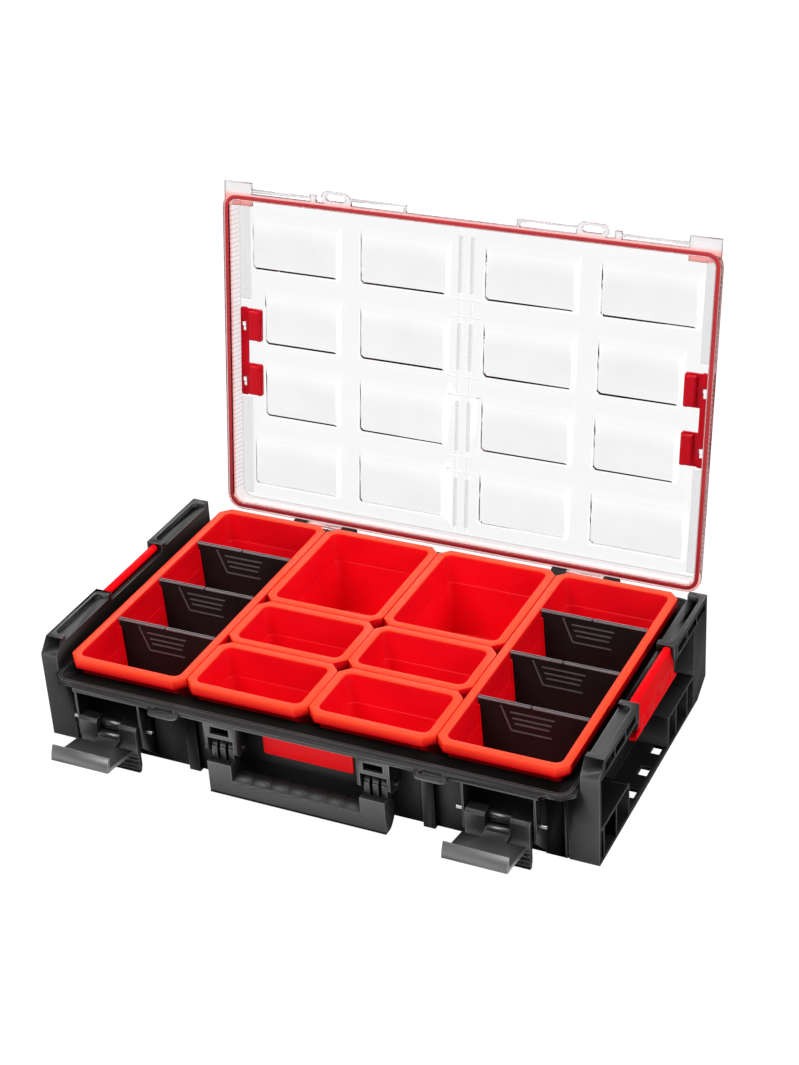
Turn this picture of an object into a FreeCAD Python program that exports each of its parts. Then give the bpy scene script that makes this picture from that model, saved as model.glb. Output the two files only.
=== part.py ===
import FreeCAD
import Part
import math
import os

V = FreeCAD.Vector
os.makedirs("parts", exist_ok=True)

# Sizes in millimetres. +Z is up, +Y is the back, the origin lies on the floor under the bins.

# Bins
FIELD_L = 315.0        # depth of the whole bin field
SIDE_BIN_W = 129.0     # width of a full depth side bin
MID_BIN_W = 130.0      # width of a centre bin
FRONT_ROW = 81.5       # depth of the front centre bins
MID_ROW = 79.0         # depth of the middle centre bins
BIN_GAP = 1.0          # gap between neighbouring rims
BIN_TOP = 97.4         # height of the rims
RIM_T = 2.0
RIM_CHAMFER = 10.0
SKIRT_H = 10.0
SKIRT_T = 1.6
BODY_INSET = 6.7       # rim edge to bin body
BIN_WALL = 1.8
BIN_FLOOR = 2.0
BIN_TAPER = 3.5        # draft of one bin wall over its height
BIN_R = 9.0
STEP_DROP = 32.0       # rim to the step inside the bin
STEP_IN = 0.7

# Dividers of the side bins
DIV_PITCH = 79.75
DIV_SHIFT = 4.0        # middle divider behind the middle of the bin
DIV_T = 1.6
DIV_TOP_T = 3.0
DIV_TOP_H = 1.8
DIV_PLAY = 0.35
GUIDE_T = 2.0
GUIDE_D = 2.0
GUIDE_DROP = 9.0
MARK_H = 0.6           # raised marks on a divider
MARK_W = 1.4

# Tray
TRAY_FLOOR = 3.0
TRAY_WALL = 2.7
TRAY_PLAY = 2.5        # bin body to tray wall
SEAT_PLAY = 0.3        # bin foot over tray floor
TRAY_R = 8.0
SHELF_DROP = 16.9      # shelf under the rims
SHELF_T = 3.5
SHELF_OVER = 23.5      # shelf edge in front of the corner posts
SHELF_STEP = 6.0       # the shelf edge sits back beside the latches
SHELF_BEHIND = 1.9     # shelf edge behind the rear seal line
SHELF_R = 10.0
RIDGE_W = 3.0
RIDGE_H = 1.2

# Rails and corner blocks
RAIL_GAP = 12.5        # bin field to rail
RAIL_W = 18.0
RAIL_SHORT = 11.0      # a rail is this much shorter than the bin field
RAIL_RISE = 11.6       # rail top over the rims
RAIL_NOSE_Y = 12.5
RAIL_NOSE_Z = 14.0
HEEL_Y = 25.0          # sloped lower rear corner
HEEL_Z = 13.6
BAY_L = 100.0          # clip bay in the rail
BAY_SHIFT = 3.0        # middle of the bay behind the middle of the rail
BAY_BAR_W = 5.0
BAY_BAR_DROP = 9.0
BLOCK_FRONT_L = 78.0
BLOCK_REAR_L = 116.0
BLOCK_REAR_SOLID = 39.0
BLOCK_SKIN = 3.0
FRONT_RIBS = (9.5, 41.5)    # ribs of the front block behind the post fronts
REAR_RIBS = (19.5, 52.5)    # ribs of the rear block behind its first wall
RIB_T = 3.0
WINDOW_LOW = 38.0
WINDOW_DROP = 18.0     # window top under the rail top
WINDOW_LEDGE = 2.5
POST_T = 4.0
FLANGE_T = 4.0
RAIL_POCKET_D = 4.8
RAIL_POCKET_W = 13.5
RAIL_POCKET_END = 7.0
SLOT_PITCH = 36.5
SLOT_W = 10.0
SLOT_L = 14.0
SLOT_SHIFT = 8.5       # middle slot in front of the middle of the rail

# Lid
LID_OPEN = 99.0        # opening angle shown
LID_GAP = 0.3          # gasket over ridge
GASKET_SIDE = 6.0      # gasket line to rail
GASKET_FRONT = 14.0    # gasket line in front of the posts
GASKET_REAR = 15.0     # gasket line behind the bins
GASKET_W = 4.0
GASKET_T = 3.0
GASKET_R = 12.0
LID_EDGE = 4.5         # gasket line to lid edge
LID_LIFT = 1.8         # lid flange over the shelf
LID_FLANGE_T = 3.7
LID_WALL = 2.2
LID_WALL_IN = 3.0      # gasket line to inner wall face
LID_DRAFT = 2.0
LID_RISE = 7.3         # lid top over the rims
PAD_ROOM = 0.6         # rims to the lowest face of the lid pads
PAD_SKIN = 1.8
PAD_ROWS = 4
PAD_REST = 20.0        # part of the lid depth that the rows leave free
PAD_SPACE = 32.0       # from row to row
PAD_FIRST = 22.0       # first pad behind the rear gasket line
PAD_SIDE = 21.0        # pads to the middle and to the gasket line
PAD_IN_W = 98.0        # width of the inner pads
PAD_GAP = 26.0         # between the two columns of a half
PAD_BY_LOCK = 14.0     # narrower pads beside the locks
PAD_BEVEL = 3.0
PAD_BEVEL_WIDE = 9.0
SPINE_X = 6.5
SPINE_T = 1.6
SPINE_H = 3.0
SPINE_BAR = 9.0
SPINE_BARS = (75.0, 92.0, 160.0, 180.0, 244.0, 262.0)    # in front of the rear gasket line

# Lid hinge
HINGE_OUT = 8.3        # pin behind the rear gasket line
HINGE_DROP = 1.35      # pin under the shelf
HINGE_IN = 54.0        # hinge nearer to the middle than the latch
HINGE_R = 5.5
HINGE_PIN_R = 2.5
HINGE_LID_L = 40.0
HINGE_BASE_L = 16.0
HINGE_SIDE_GAP = 0.5
PIN_PLAY = 0.05        # running fit of every pin

# Lid locks
LOCK_SHIFT = 6.0       # middle of the lock behind the middle of the rail
LOCK_L = 98.0
LOCK_SIDE = 5.2        # gasket line to lock
LOCK_W = 8.8
LOCK_ROOM = 2.0        # rims to lock
LOCK_T = 2.8
LOCK_TAB_W = 17.0
LOCK_TAB_L = 35.0
LOCK_TAB_ROOM = 0.4
LOCK_TRAVEL = 6.0
STUD_R = 1.8
STUD_HEAD_R = 3.6
STUD_HEAD_T = 1.1
STUD_PLAY = 0.3
STUD_SPREAD = 31.0

# Latches
LATCH_IN = 56.5        # latch middle inside the bin field
LATCH_HALF = 31.5
LATCH_GAP_HALF = 12.5  # half of the space between the lever blocks
POCKET_HALF = 34.0
POCKET_T = 2.0
POCKET_LOW = 16.0      # front corner of the pocket plates under the pin
LATCH_PIN_OUT = 16.5   # pin in front of the posts
LATCH_PIN_DROP = 36.5  # pin under the shelf
LATCH_PIN_R = 2.0
LATCH_PIN_HALF = 44.0
LATCH_SLEEVE_R = 4.6
LEVER_FACE = 28.0      # lever front in front of the posts
LEVER_BACK = 11.0
LEVER_TOP = 8.0        # block top over the pin
LEVER_FOOT = 22.0      # block foot under the pin
LEVER_LOW = 1.5
LEVER_PLATE_T = 4.0
LEVER_RIBS = 4
LEVER_RIB_PITCH = 5.0
LEVER_RIB_H = 0.8
HOOK_PIN_OUT = 24.0
HOOK_PIN_DROP = 9.0    # hook axle under the lever pin
HOOK_AXLE_R = 2.2
HOOK_AXLE_L = 7.5
HOOK_BARREL_R = 4.0
HOOK_SIDE_GAP = 0.3
HOOK_PLATE_IN = 4.6    # plate faces measured from the axle
HOOK_PLATE_OUT = 8.2
HOOK_START = 11.0      # axle to the foot of the plate
HOOK_ROOM = 0.7        # lip over the catch bar
HOOK_LIP_T = 4.6
HOOK_LIP_IN = 6.5
HOOK_OPEN = 80.0       # angle of the open hook from its closed place

# Padlock loops
LOOP_IN = 64.5         # loop nearer to the middle than the latch
LOOP_OUT = 24.5
LOOP_T = 5.0
LOOP_HALF = 16.5
LOOP_R = 6.5
LOOP_HOLE_HALF = 11.0
LOOP_HOLE_R = 3.25

# Handle
HANDLE_PIN_OUT = 12.0
HANDLE_PIN_DROP = 31.0
HANDLE_PIN_R = 2.0
ARM_IN = 67.5
ARM_OUT = 93.0
ARM_DROP = 12.0        # arm top under the pin
ARM_DEEP = 21.0
ARM_BELLY = 18.5       # deepest place of the arm under its top
HANDLE_FACE = 30.0     # handle front in front of the posts
HANDLE_LOW = 1.5
FINGER_GAP = 3.5       # between the hinge fingers of an arm
FINGER_SIDE = 1.0      # arm face to the outer fingers
FINGER_R = 7.5
CHEEK_T = 3.0
CHEEK_GAP = 1.0
BRACKET_LOW = 7.5      # bracket foot under the pin
BRACKET_BAR = 11.5     # cross bar over the pin
BRACKET_WINDOW_LOW = 16.0
BRACKET_WINDOW_TOP = 24.5
GRIP_OUT = 20.0
GRIP_Z = 14.0
GRIP_R = 12.0
GRIP_DIP = 1.6
GRIP_BUMPS = 7
GRIP_SIDES = 14

# Label plate and pilasters
LABEL_W = 92.0
LABEL_H = 27.0
LABEL_DROP = 18.5      # plate top under the shelf
LABEL_T = 1.4
LABEL_EDGE = 2.0
LABEL_DISH = 0.5
PILASTER_IN = 79.0     # pilaster nearer to the middle than the latch
PILASTER_W = 12.0
PILASTER_OUT = 4.0
PILASTER_HEAD = 15.0
PILASTER_SLOPE = 16.5  # sloped head under the shelf

# Side clips
CLIP_IN = 10.0         # clip axis outside the rail's inner face
CLIP_DROP = 6.0        # clip axis under the rail top
CLIP_R = 4.0
CLIP_END_GAP = 1.0
CLIP_DEEP = 5.0        # round clip ends inside the rail
CLIP_H = 33.0          # clip axis to the lower edge
CLIP_ROOM = 6.0        # free space under the clip
CLIP_T = 2.6
CLIP_MARK_W = 13.0
CLIP_MARK_H = 9.0
CLIP_MARK_UP = 8.0     # marks over the lower edge
CLIP_MARK_D = 1.0

# Derived places
FRONT = -FIELD_L / 2.0
FIELD_HALF = BIN_GAP / 2.0 + MID_BIN_W + BIN_GAP + SIDE_BIN_W
BIN_FOOT = TRAY_FLOOR + SEAT_PLAY
SHELF_Z = BIN_TOP - SHELF_DROP
SHELF_LOW = SHELF_Z - SHELF_T
SHELF_FRONT = FRONT - SHELF_OVER
RIDGE_TOP = SHELF_Z + RIDGE_H
RAIL_IN = FIELD_HALF + RAIL_GAP
RAIL_OUT = RAIL_IN + RAIL_W
RAIL_LEN = FIELD_L - RAIL_SHORT
RAIL_TOP = BIN_TOP + RAIL_RISE
RAIL_MID = FRONT + RAIL_LEN / 2.0
BAY_Y0 = RAIL_MID + BAY_SHIFT - BAY_L / 2.0
BAY_Y1 = BAY_Y0 + BAY_L
BAY_BAR_TOP = RAIL_TOP - BAY_BAR_DROP
BLOCK_Y0 = FRONT + BLOCK_FRONT_L
BLOCK_Y1 = FRONT + RAIL_LEN - BLOCK_REAR_L
BLOCK_Y2 = FRONT + RAIL_LEN - BLOCK_REAR_SOLID
WINDOW_TOP = RAIL_TOP - WINDOW_DROP
RAIL_POCKET_Z = RAIL_TOP - RAIL_POCKET_D
SLOT_X = (RAIL_IN + RAIL_OUT) / 2.0
TRAY_IN_X = FIELD_HALF - BODY_INSET + TRAY_PLAY
TRAY_IN_Y = FIELD_L / 2.0 - BODY_INSET + TRAY_PLAY
TRAY_OUT_X = TRAY_IN_X + TRAY_WALL
TRAY_OUT_Y = TRAY_IN_Y + TRAY_WALL
WALL_Y = -TRAY_OUT_Y
GASKET_X = RAIL_IN - GASKET_SIDE
SEAL_Y0 = FRONT - GASKET_FRONT
SEAL_Y1 = FIELD_L / 2.0 + GASKET_REAR
SHELF_REAR = SEAL_Y1 + SHELF_BEHIND
LID_FLANGE_Z = SHELF_Z + LID_LIFT
LID_FLANGE_TOP = LID_FLANGE_Z + LID_FLANGE_T
LID_TOP = BIN_TOP + LID_RISE
LID_IN_Z = LID_TOP - LID_WALL
PAD_Z = BIN_TOP + PAD_ROOM
PAD_PITCH = (SEAL_Y1 - SEAL_Y0 - PAD_REST) / PAD_ROWS
PAD_L = PAD_PITCH - PAD_SPACE
PAD_OUT_X = PAD_SIDE + PAD_IN_W + PAD_GAP
LOCK_OUT = GASKET_X - LOCK_SIDE
LOCK_IN = LOCK_OUT - LOCK_W
LOCK_TAB_IN = LOCK_IN - LOCK_TAB_W
LOCK_Y = RAIL_MID + LOCK_SHIFT
LOCK_Z = BIN_TOP + LOCK_ROOM
LOCK_TAB_Z = BIN_TOP + LOCK_TAB_ROOM
LATCH_X = FIELD_HALF - LATCH_IN
LATCH_PIN_Z = SHELF_Z - LATCH_PIN_DROP
HOOK_PIN_Z = LATCH_PIN_Z - HOOK_PIN_DROP
CATCH_TOP = LID_FLANGE_TOP - 0.3
HOOK_REACH = CATCH_TOP + HOOK_ROOM - HOOK_PIN_Z
HINGE_X = LATCH_X - HINGE_IN
HINGE_Y = SEAL_Y1 + HINGE_OUT
HINGE_Z = SHELF_Z - HINGE_DROP
HINGE_REACH = HINGE_LID_L / 2.0 + HINGE_SIDE_GAP + HINGE_BASE_L
LOOP_X = LATCH_X - LOOP_IN
PILASTER_X = LATCH_X - PILASTER_IN
HANDLE_PIN_Z = SHELF_Z - HANDLE_PIN_DROP
ARM_TOP = HANDLE_PIN_Z - ARM_DROP
FINGER_W = (ARM_OUT - ARM_IN - 2 * FINGER_SIDE - 2 * FINGER_GAP) / 3.0
LABEL_Z = SHELF_Z - LABEL_DROP - LABEL_H
CLIP_X = RAIL_IN + CLIP_IN
CLIP_Z = RAIL_TOP - CLIP_DROP
CLIP_LOW = CLIP_Z - CLIP_H


def box(x0, x1, y0, y1, z0, z1):
    low = V(min(x0, x1), min(y0, y1), min(z0, z1))
    return Part.makeBox(abs(x1 - x0), abs(y1 - y0), abs(z1 - z0), low)


def prism_x(points, x0, x1):
    ring = [V(x0, y, z) for y, z in points]
    face = Part.Face(Part.makePolygon(ring + ring[:1]))
    return face.extrude(V(x1 - x0, 0, 0))


def prism_y(points, y0, y1):
    ring = [V(x, y0, z) for x, z in points]
    face = Part.Face(Part.makePolygon(ring + ring[:1]))
    return face.extrude(V(0, y1 - y0, 0))


def prism_z(points, z0, z1):
    ring = [V(x, y, z0) for x, y in points]
    face = Part.Face(Part.makePolygon(ring + ring[:1]))
    return face.extrude(V(0, 0, z1 - z0))


def rod_x(y, z, r, x0, x1):
    return Part.makeCylinder(r, x1 - x0, V(x0, y, z), V(1, 0, 0))


def rod_y(x, z, r, y0, y1):
    return Part.makeCylinder(r, y1 - y0, V(x, y0, z), V(0, 1, 0))


def flats_x(y, z, r, x0, x1):
    # An eight sided bar along X whose flats lie r from its axis.
    c = r * (2.0 - math.sqrt(2.0))
    return prism_x(octagon(y - r, y + r, z - r, z + r, c), x0, x1)


def skin(rings):
    # A solid through closed rings of points, one ring after the other.
    faces = [Part.Face(Part.makePolygon(r + r[:1])) for r in (rings[0], rings[-1])]
    count = len(rings[0])
    for low, high in zip(rings[:-1], rings[1:]):
        for i in range(count):
            j = (i + 1) % count
            faces.append(Part.Face(Part.makePolygon([low[i], low[j], high[j], high[i], low[i]])))
    solid = Part.makeSolid(Part.makeShell(faces))
    if solid.Volume < 0:
        solid.reverse()
    return solid


def soft_ring(x0, x1, y0, y1, r, z, n):
    # A rectangle whose corners turn in n short sides.
    points = []
    corners = ((x1 - r, y0 + r, 270), (x1 - r, y1 - r, 0), (x0 + r, y1 - r, 90), (x0 + r, y0 + r, 180))
    for cx, cy, start in corners:
        for i in range(n + 1):
            a = math.radians(start + 90.0 * i / n)
            points.append(V(cx + r * math.cos(a), cy + r * math.sin(a), z))
    return points


def taper(low, high, n):
    # A solid between two rounded rectangles of different size.
    return skin([soft_ring(*low, n), soft_ring(*high, n)])


def soft_slab(x0, x1, y0, y1, r, z0, z1, n):
    return skin([soft_ring(x0, x1, y0, y1, r, z0, n), soft_ring(x0, x1, y0, y1, r, z1, n)])


def octagon(x0, x1, y0, y1, c):
    return [
        (x0 + c, y0), (x1 - c, y0), (x1, y0 + c), (x1, y1 - c),
        (x1 - c, y1), (x0 + c, y1), (x0, y1 - c), (x0, y0 + c),
    ]


def chip(x0, x1, y0, y1, c, z0, z1):
    return prism_z(octagon(x0, x1, y0, y1, c), z0, z1)


def stadium(x, y, half, r, z0, z1):
    return soft_slab(x - half, x + half, y - r, y + r, r - 0.01, z0, z1, 4)


def mirrored(shape):
    return shape.mirror(V(0, 0, 0), V(1, 0, 0))


def both(shapes):
    return list(shapes) + [mirrored(s) for s in shapes]


def join(shapes):
    if len(shapes) == 1:
        return shapes[0]
    return shapes[0].multiFuse(shapes[1:])


def carve(shape, tools):
    if not tools:
        return shape
    return shape.cut(tools)


def save(shape, name):
    solids = shape.removeSplitter().Solids
    if len(solids) != 1:
        raise ValueError(name + " has " + str(len(solids)) + " solids")
    solids[0].exportStep("parts/" + name + ".step")


def save_pair(shape, name):
    # The shape is the right one, the left one is its mirror image.
    save(shape, name + "_right")
    save(mirrored(shape), name + "_left")


def bin_inset(z):
    return BODY_INSET + BIN_TAPER * (BIN_TOP - z) / (BIN_TOP - BIN_FOOT)


def bin_ring(x0, x1, y0, y1, extra, r, z):
    i = bin_inset(z) + extra
    return (x0 + i, x1 - i, y0 + i, y1 - i, r, z)


def make_bin(x0, x1, y0, y1):
    rim = prism_z(octagon(x0, x1, y0, y1, RIM_CHAMFER), BIN_TOP - SKIRT_H, BIN_TOP)
    t = SKIRT_T
    hollow = prism_z(octagon(x0 + t, x1 - t, y0 + t, y1 - t, RIM_CHAMFER), 0, BIN_TOP - RIM_T)
    body = taper(bin_ring(x0, x1, y0, y1, 0, BIN_R, BIN_FOOT),
                 bin_ring(x0, x1, y0, y1, 0, BIN_R, BIN_TOP - RIM_T / 2), 2)
    step = BIN_TOP - STEP_DROP
    r = BIN_R - BIN_WALL
    low = taper(bin_ring(x0, x1, y0, y1, BIN_WALL + STEP_IN, r, BIN_FOOT + BIN_FLOOR),
                bin_ring(x0, x1, y0, y1, BIN_WALL + STEP_IN, r, step), 3)
    high = taper(bin_ring(x0, x1, y0, y1, BIN_WALL, r, step),
                 bin_ring(x0, x1, y0, y1, BIN_WALL, r, BIN_TOP + 1), 3)
    return carve(rim.cut(hollow).fuse(body), [low, high])


def wall_inset(z):
    return bin_inset(z) + BIN_WALL + STEP_IN


def divider_places():
    return [DIV_SHIFT + (i - 1) * DIV_PITCH for i in range(3)]


def make_side_bin(x0, x1):
    guides = []
    low = BIN_FOOT + BIN_FLOOR / 2
    top = BIN_TOP - GUIDE_DROP
    deep = BIN_WALL / 2 + STEP_IN
    for y in divider_places():
        for side in (-1, 1):
            y0 = y + side * (DIV_T / 2 + DIV_PLAY)
            y1 = y0 + side * GUIDE_T
            left = [(x0 + wall_inset(low) - deep, low), (x0 + wall_inset(low) + GUIDE_D, low),
                    (x0 + wall_inset(top) + GUIDE_D, top), (x0 + wall_inset(top) - deep, top)]
            right = [(x0 + x1 - x, z) for x, z in left]
            guides.append(prism_y(left, y0, y1))
            guides.append(prism_y(right, y0, y1))
    return join([make_bin(x0, x1, -FIELD_L / 2, FIELD_L / 2)] + guides)


def make_divider(x0, x1, y):
    low = BIN_FOOT + BIN_FLOOR + SEAT_PLAY
    top = BIN_TOP - 0.4
    a = wall_inset(low) + DIV_PLAY
    b = wall_inset(top) + DIV_PLAY
    face = [(x0 + a, low), (x1 - a, low), (x1 - b, top), (x0 + b, top)]
    plate = prism_y(face, y - DIV_T / 2, y + DIV_T / 2)
    cap = box(x0 + b, x1 - b, y - DIV_TOP_T / 2, y + DIV_TOP_T / 2, top - DIV_TOP_H, top)
    w = x1 - x0
    y1 = y - DIV_T / 2
    y0 = y1 - MARK_H
    marks = []
    for share, drop in ((0.34, 27.4), (0.34, 41.4), (0.34, 55.4), (0.48, 71.4)):
        z = BIN_TOP - drop
        marks.append(box(x1 - (0.14 + share) * w, x1 - 0.14 * w, y0, y1 + 0.2, z, z + MARK_W))
    z0 = BIN_TOP - 73.4
    z1 = BIN_TOP - 21.4
    slant = [(x0 + 0.17 * w, z0), (x0 + 0.17 * w + MARK_W, z0),
             (x0 + 0.40 * w + MARK_W, z1), (x0 + 0.40 * w, z1)]
    marks.append(prism_y(slant, y0, y1 + 0.2))
    return join([plate, cap] + marks)


def side_profile():
    return [
        (FRONT, 0), (FRONT, RAIL_TOP - RAIL_NOSE_Z), (FRONT + RAIL_NOSE_Y, RAIL_TOP),
        (FRONT + RAIL_LEN, RAIL_TOP), (FRONT + RAIL_LEN, HEEL_Z),
        (FRONT + RAIL_LEN - HEEL_Y, 0),
    ]


def rail_pocket(y0, y1):
    # Shallow pocket in the top of a rail, open to the inside.
    return chip(RAIL_IN - 10, RAIL_IN + RAIL_POCKET_W, y0, y1, 4.0,
                RAIL_POCKET_Z, RAIL_TOP + 1)


def side_cuts():
    cuts = []
    out = RAIL_OUT + 1
    deep = TRAY_OUT_X + BLOCK_SKIN
    high = RAIL_IN + BLOCK_SKIN
    rear = FRONT + RAIL_LEN
    # The clip bay in the rail and the open middle of the side.
    cuts.append(box(RAIL_IN + BAY_BAR_W, out, BAY_Y0, BAY_Y1, CLIP_LOW - CLIP_ROOM, RAIL_TOP + 1))
    cuts.append(box(RAIL_IN - 1, out, BAY_Y0, BAY_Y1, BAY_BAR_TOP, RAIL_TOP + 1))
    cuts.append(box(TRAY_OUT_X, out, BLOCK_Y0, BLOCK_Y1, FLANGE_T, SHELF_LOW))
    cuts.append(box(high, out, BLOCK_Y0, BLOCK_Y1, FLANGE_T, WINDOW_TOP))
    # Windows of the corner blocks and the low pockets between their ribs.
    blocks = [(FRONT + POST_T, BLOCK_Y0 - BLOCK_SKIN, [FRONT + y for y in FRONT_RIBS]),
              (BLOCK_Y1 + BLOCK_SKIN, BLOCK_Y2, [BLOCK_Y1 + BLOCK_SKIN + y for y in REAR_RIBS])]
    for y0, y1, ribs in blocks:
        cuts.append(box(deep, out, y0, y1, WINDOW_LOW, SHELF_LOW))
        cuts.append(box(high, out, y0, y1, WINDOW_LOW, WINDOW_TOP))
        starts = [y0] + [y + RIB_T for y in ribs]
        for a, b in zip(starts, ribs + [y1]):
            cuts.append(box(deep, out, a, b, BLOCK_SKIN, WINDOW_LOW - WINDOW_LEDGE))
    # Rear wall hollow, open below.
    cuts.append(box(deep, RAIL_OUT - BLOCK_SKIN, BLOCK_Y2 + BLOCK_SKIN, rear - BLOCK_SKIN,
                    -1, SHELF_LOW - BLOCK_SKIN))
    cuts.append(rail_pocket(FRONT + RAIL_NOSE_Y + RAIL_POCKET_END, BAY_Y0 - RAIL_POCKET_END))
    cuts.append(rail_pocket(BAY_Y1 + RAIL_POCKET_END, rear - RAIL_POCKET_END))
    for i in (-1, 0, 1):
        y = RAIL_MID - SLOT_SHIFT + i * SLOT_PITCH
        cuts.append(box(SLOT_X - SLOT_W / 2, SLOT_X + SLOT_W / 2, y - SLOT_L / 2, y + SLOT_L / 2,
                        -1, FLANGE_T + 1))
    # Bores for the round ends of the clip.
    deep = CLIP_DEEP + CLIP_END_GAP
    cuts.append(rod_y(CLIP_X, CLIP_Z, CLIP_R + PIN_PLAY, BAY_Y0 - deep, BAY_Y1 + deep))
    return cuts


def shelf_outline():
    half = RAIL_IN + 1
    near = FRONT - SHELF_OVER + SHELF_STEP
    inner = LATCH_X + POCKET_HALF + POCKET_T + 2
    c = SHELF_R
    right = [(0, SHELF_FRONT), (inner, SHELF_FRONT), (inner + SHELF_STEP, near),
             (half - c - 2, near), (half - 2, near + c), (half - 2, FRONT + 2), (half, FRONT + 2),
             (half, FRONT + RAIL_LEN - 1), (half - 2, FRONT + RAIL_LEN - 1),
             (half - 2, SHELF_REAR - c), (half - 2 - c, SHELF_REAR)]
    left = [(-x, y) for x, y in reversed(right[1:])]
    return right + left


def base_front_pieces():
    pieces = []
    # Latch pocket plates.
    for x in (LATCH_X - POCKET_HALF - POCKET_T, LATCH_X + POCKET_HALF):
        shape = [(WALL_Y + 1, SHELF_LOW + 1), (SHELF_FRONT, SHELF_LOW + 1),
                 (SHELF_FRONT, LATCH_PIN_Z - POCKET_LOW), (WALL_Y + 1, LEVER_LOW)]
        pieces.append(prism_x(shape, x, x + POCKET_T))
    # Handle brackets: two cheeks and a front frame with a window.
    top = SHELF_LOW + 1
    for x in (ARM_IN - CHEEK_GAP - CHEEK_T, ARM_OUT + CHEEK_GAP):
        foot = HANDLE_PIN_Z - BRACKET_LOW
        shape = [(WALL_Y + 1, top), (SHELF_FRONT, top), (SHELF_FRONT, foot + 5),
                 (SHELF_FRONT + 5, foot), (FRONT - 7, foot), (WALL_Y + 1, foot + 8)]
        pieces.append(prism_x(shape, x, x + CHEEK_T))
    frame = box(ARM_IN - CHEEK_GAP - 1, ARM_OUT + CHEEK_GAP + 1, SHELF_FRONT, SHELF_FRONT + 3,
                HANDLE_PIN_Z + BRACKET_BAR, top)
    window = box(ARM_IN + 2.5, ARM_OUT - 2.5, SHELF_FRONT - 1, SHELF_FRONT + 4,
                 HANDLE_PIN_Z + BRACKET_WINDOW_LOW, HANDLE_PIN_Z + BRACKET_WINDOW_TOP)
    pieces.append(frame.cut(window))
    # Pilaster with a sloped head under the shelf.
    face = FRONT - PILASTER_OUT
    head = [(WALL_Y + 1, 0), (face, 0), (face, SHELF_Z - PILASTER_SLOPE),
            (FRONT - PILASTER_HEAD, top), (WALL_Y + 1, top)]
    half = PILASTER_W / 2
    pieces.append(prism_x(head, PILASTER_X - half, PILASTER_X + half))
    # Strip between the latch pocket and the corner post.
    pieces.append(box(LATCH_X + POCKET_HALF + POCKET_T - 1, TRAY_OUT_X, FRONT + 0.4, WALL_Y + 1,
                      0, top))
    # Padlock loop.
    pieces.append(stadium(LOOP_X, FRONT - LOOP_OUT, LOOP_HALF, LOOP_R, SHELF_Z - LOOP_T, SHELF_Z))
    return pieces


def knuckle(x0, x1):
    barrel = flats_x(HINGE_Y, HINGE_Z, HINGE_R, x0, x1)
    web = [(SHELF_REAR - 2, SHELF_LOW), (SHELF_REAR - 2, SHELF_Z), (HINGE_Y, SHELF_Z),
           (HINGE_Y, HINGE_Z - HINGE_R + 0.5)]
    return barrel.fuse(prism_x(web, x0, x1))


def base_knuckle_spans():
    half = HINGE_LID_L / 2 + HINGE_SIDE_GAP
    return [(HINGE_X - half - HINGE_BASE_L, HINGE_X - half),
            (HINGE_X + half, HINGE_X + half + HINGE_BASE_L)]


def seal_ring(g, z0, z1):
    # A ring along the seal line, g to each side of it.
    ring = soft_slab(-GASKET_X - g, GASKET_X + g, SEAL_Y0 - g, SEAL_Y1 + g, GASKET_R + g, z0, z1, 5)
    return ring.cut(soft_slab(-GASKET_X + g, GASKET_X - g, SEAL_Y0 + g, SEAL_Y1 - g, GASKET_R - g,
                              z0 - 1, z1 + 1, 5))


def make_base():
    outer = soft_slab(-TRAY_OUT_X, TRAY_OUT_X, -TRAY_OUT_Y, TRAY_OUT_Y, TRAY_R, 0, SHELF_Z, 3)
    shelf = prism_z(shelf_outline(), SHELF_LOW, SHELF_Z)
    g = RIDGE_W / 2
    ridge = seal_ring(g, SHELF_LOW + 1, RIDGE_TOP)
    rail = prism_x(side_profile(), RAIL_IN, RAIL_OUT)
    block = prism_x(side_profile(), TRAY_OUT_X - 1, RAIL_IN + 1)
    block = block.common(box(0, RAIL_OUT, FRONT - 1, FRONT + RAIL_LEN, 0, SHELF_LOW + 1))
    block = block.cut(box(TRAY_OUT_X + 0.6, TRAY_OUT_X + 2.6, FRONT - 1, FRONT + 1.2, -1, SHELF_LOW))
    side = carve(join([rail, block]), side_cuts())
    hinge = [knuckle(a, b) for a, b in base_knuckle_spans()]
    pieces = [outer, shelf, ridge] + both([side] + base_front_pieces() + hinge)
    body = join(pieces)
    cuts = [soft_slab(-TRAY_IN_X, TRAY_IN_X, -TRAY_IN_Y, TRAY_IN_Y, TRAY_R - TRAY_WALL,
                      TRAY_FLOOR, SHELF_Z + 20, 3)]
    right = [stadium(LOOP_X, FRONT - LOOP_OUT, LOOP_HOLE_HALF, LOOP_HOLE_R, SHELF_Z - 8, SHELF_Z + 5)]
    # Sockets with flats that hold the fixed pins.
    right.append(flats_x(FRONT - LATCH_PIN_OUT, LATCH_PIN_Z, LATCH_PIN_R,
                         LATCH_X - LATCH_PIN_HALF, LATCH_X + LATCH_PIN_HALF))
    right.append(flats_x(FRONT - HANDLE_PIN_OUT, HANDLE_PIN_Z, HANDLE_PIN_R, ARM_IN - 10, ARM_OUT + 10))
    right.append(flats_x(HINGE_Y, HINGE_Z, HINGE_PIN_R, HINGE_X - HINGE_REACH - 5, HINGE_X + HINGE_REACH + 5))
    return carve(body, cuts + both(right))


def make_label():
    z1 = LABEL_Z + LABEL_H
    y0 = WALL_Y - LABEL_T
    plate = box(-LABEL_W / 2, LABEL_W / 2, y0, WALL_Y, LABEL_Z, z1)
    e = LABEL_EDGE
    dish = box(-LABEL_W / 2 + e, LABEL_W / 2 - e, y0 - 1, y0 + LABEL_DISH, LABEL_Z + e, z1 - e)
    return plate.cut(dish)


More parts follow.
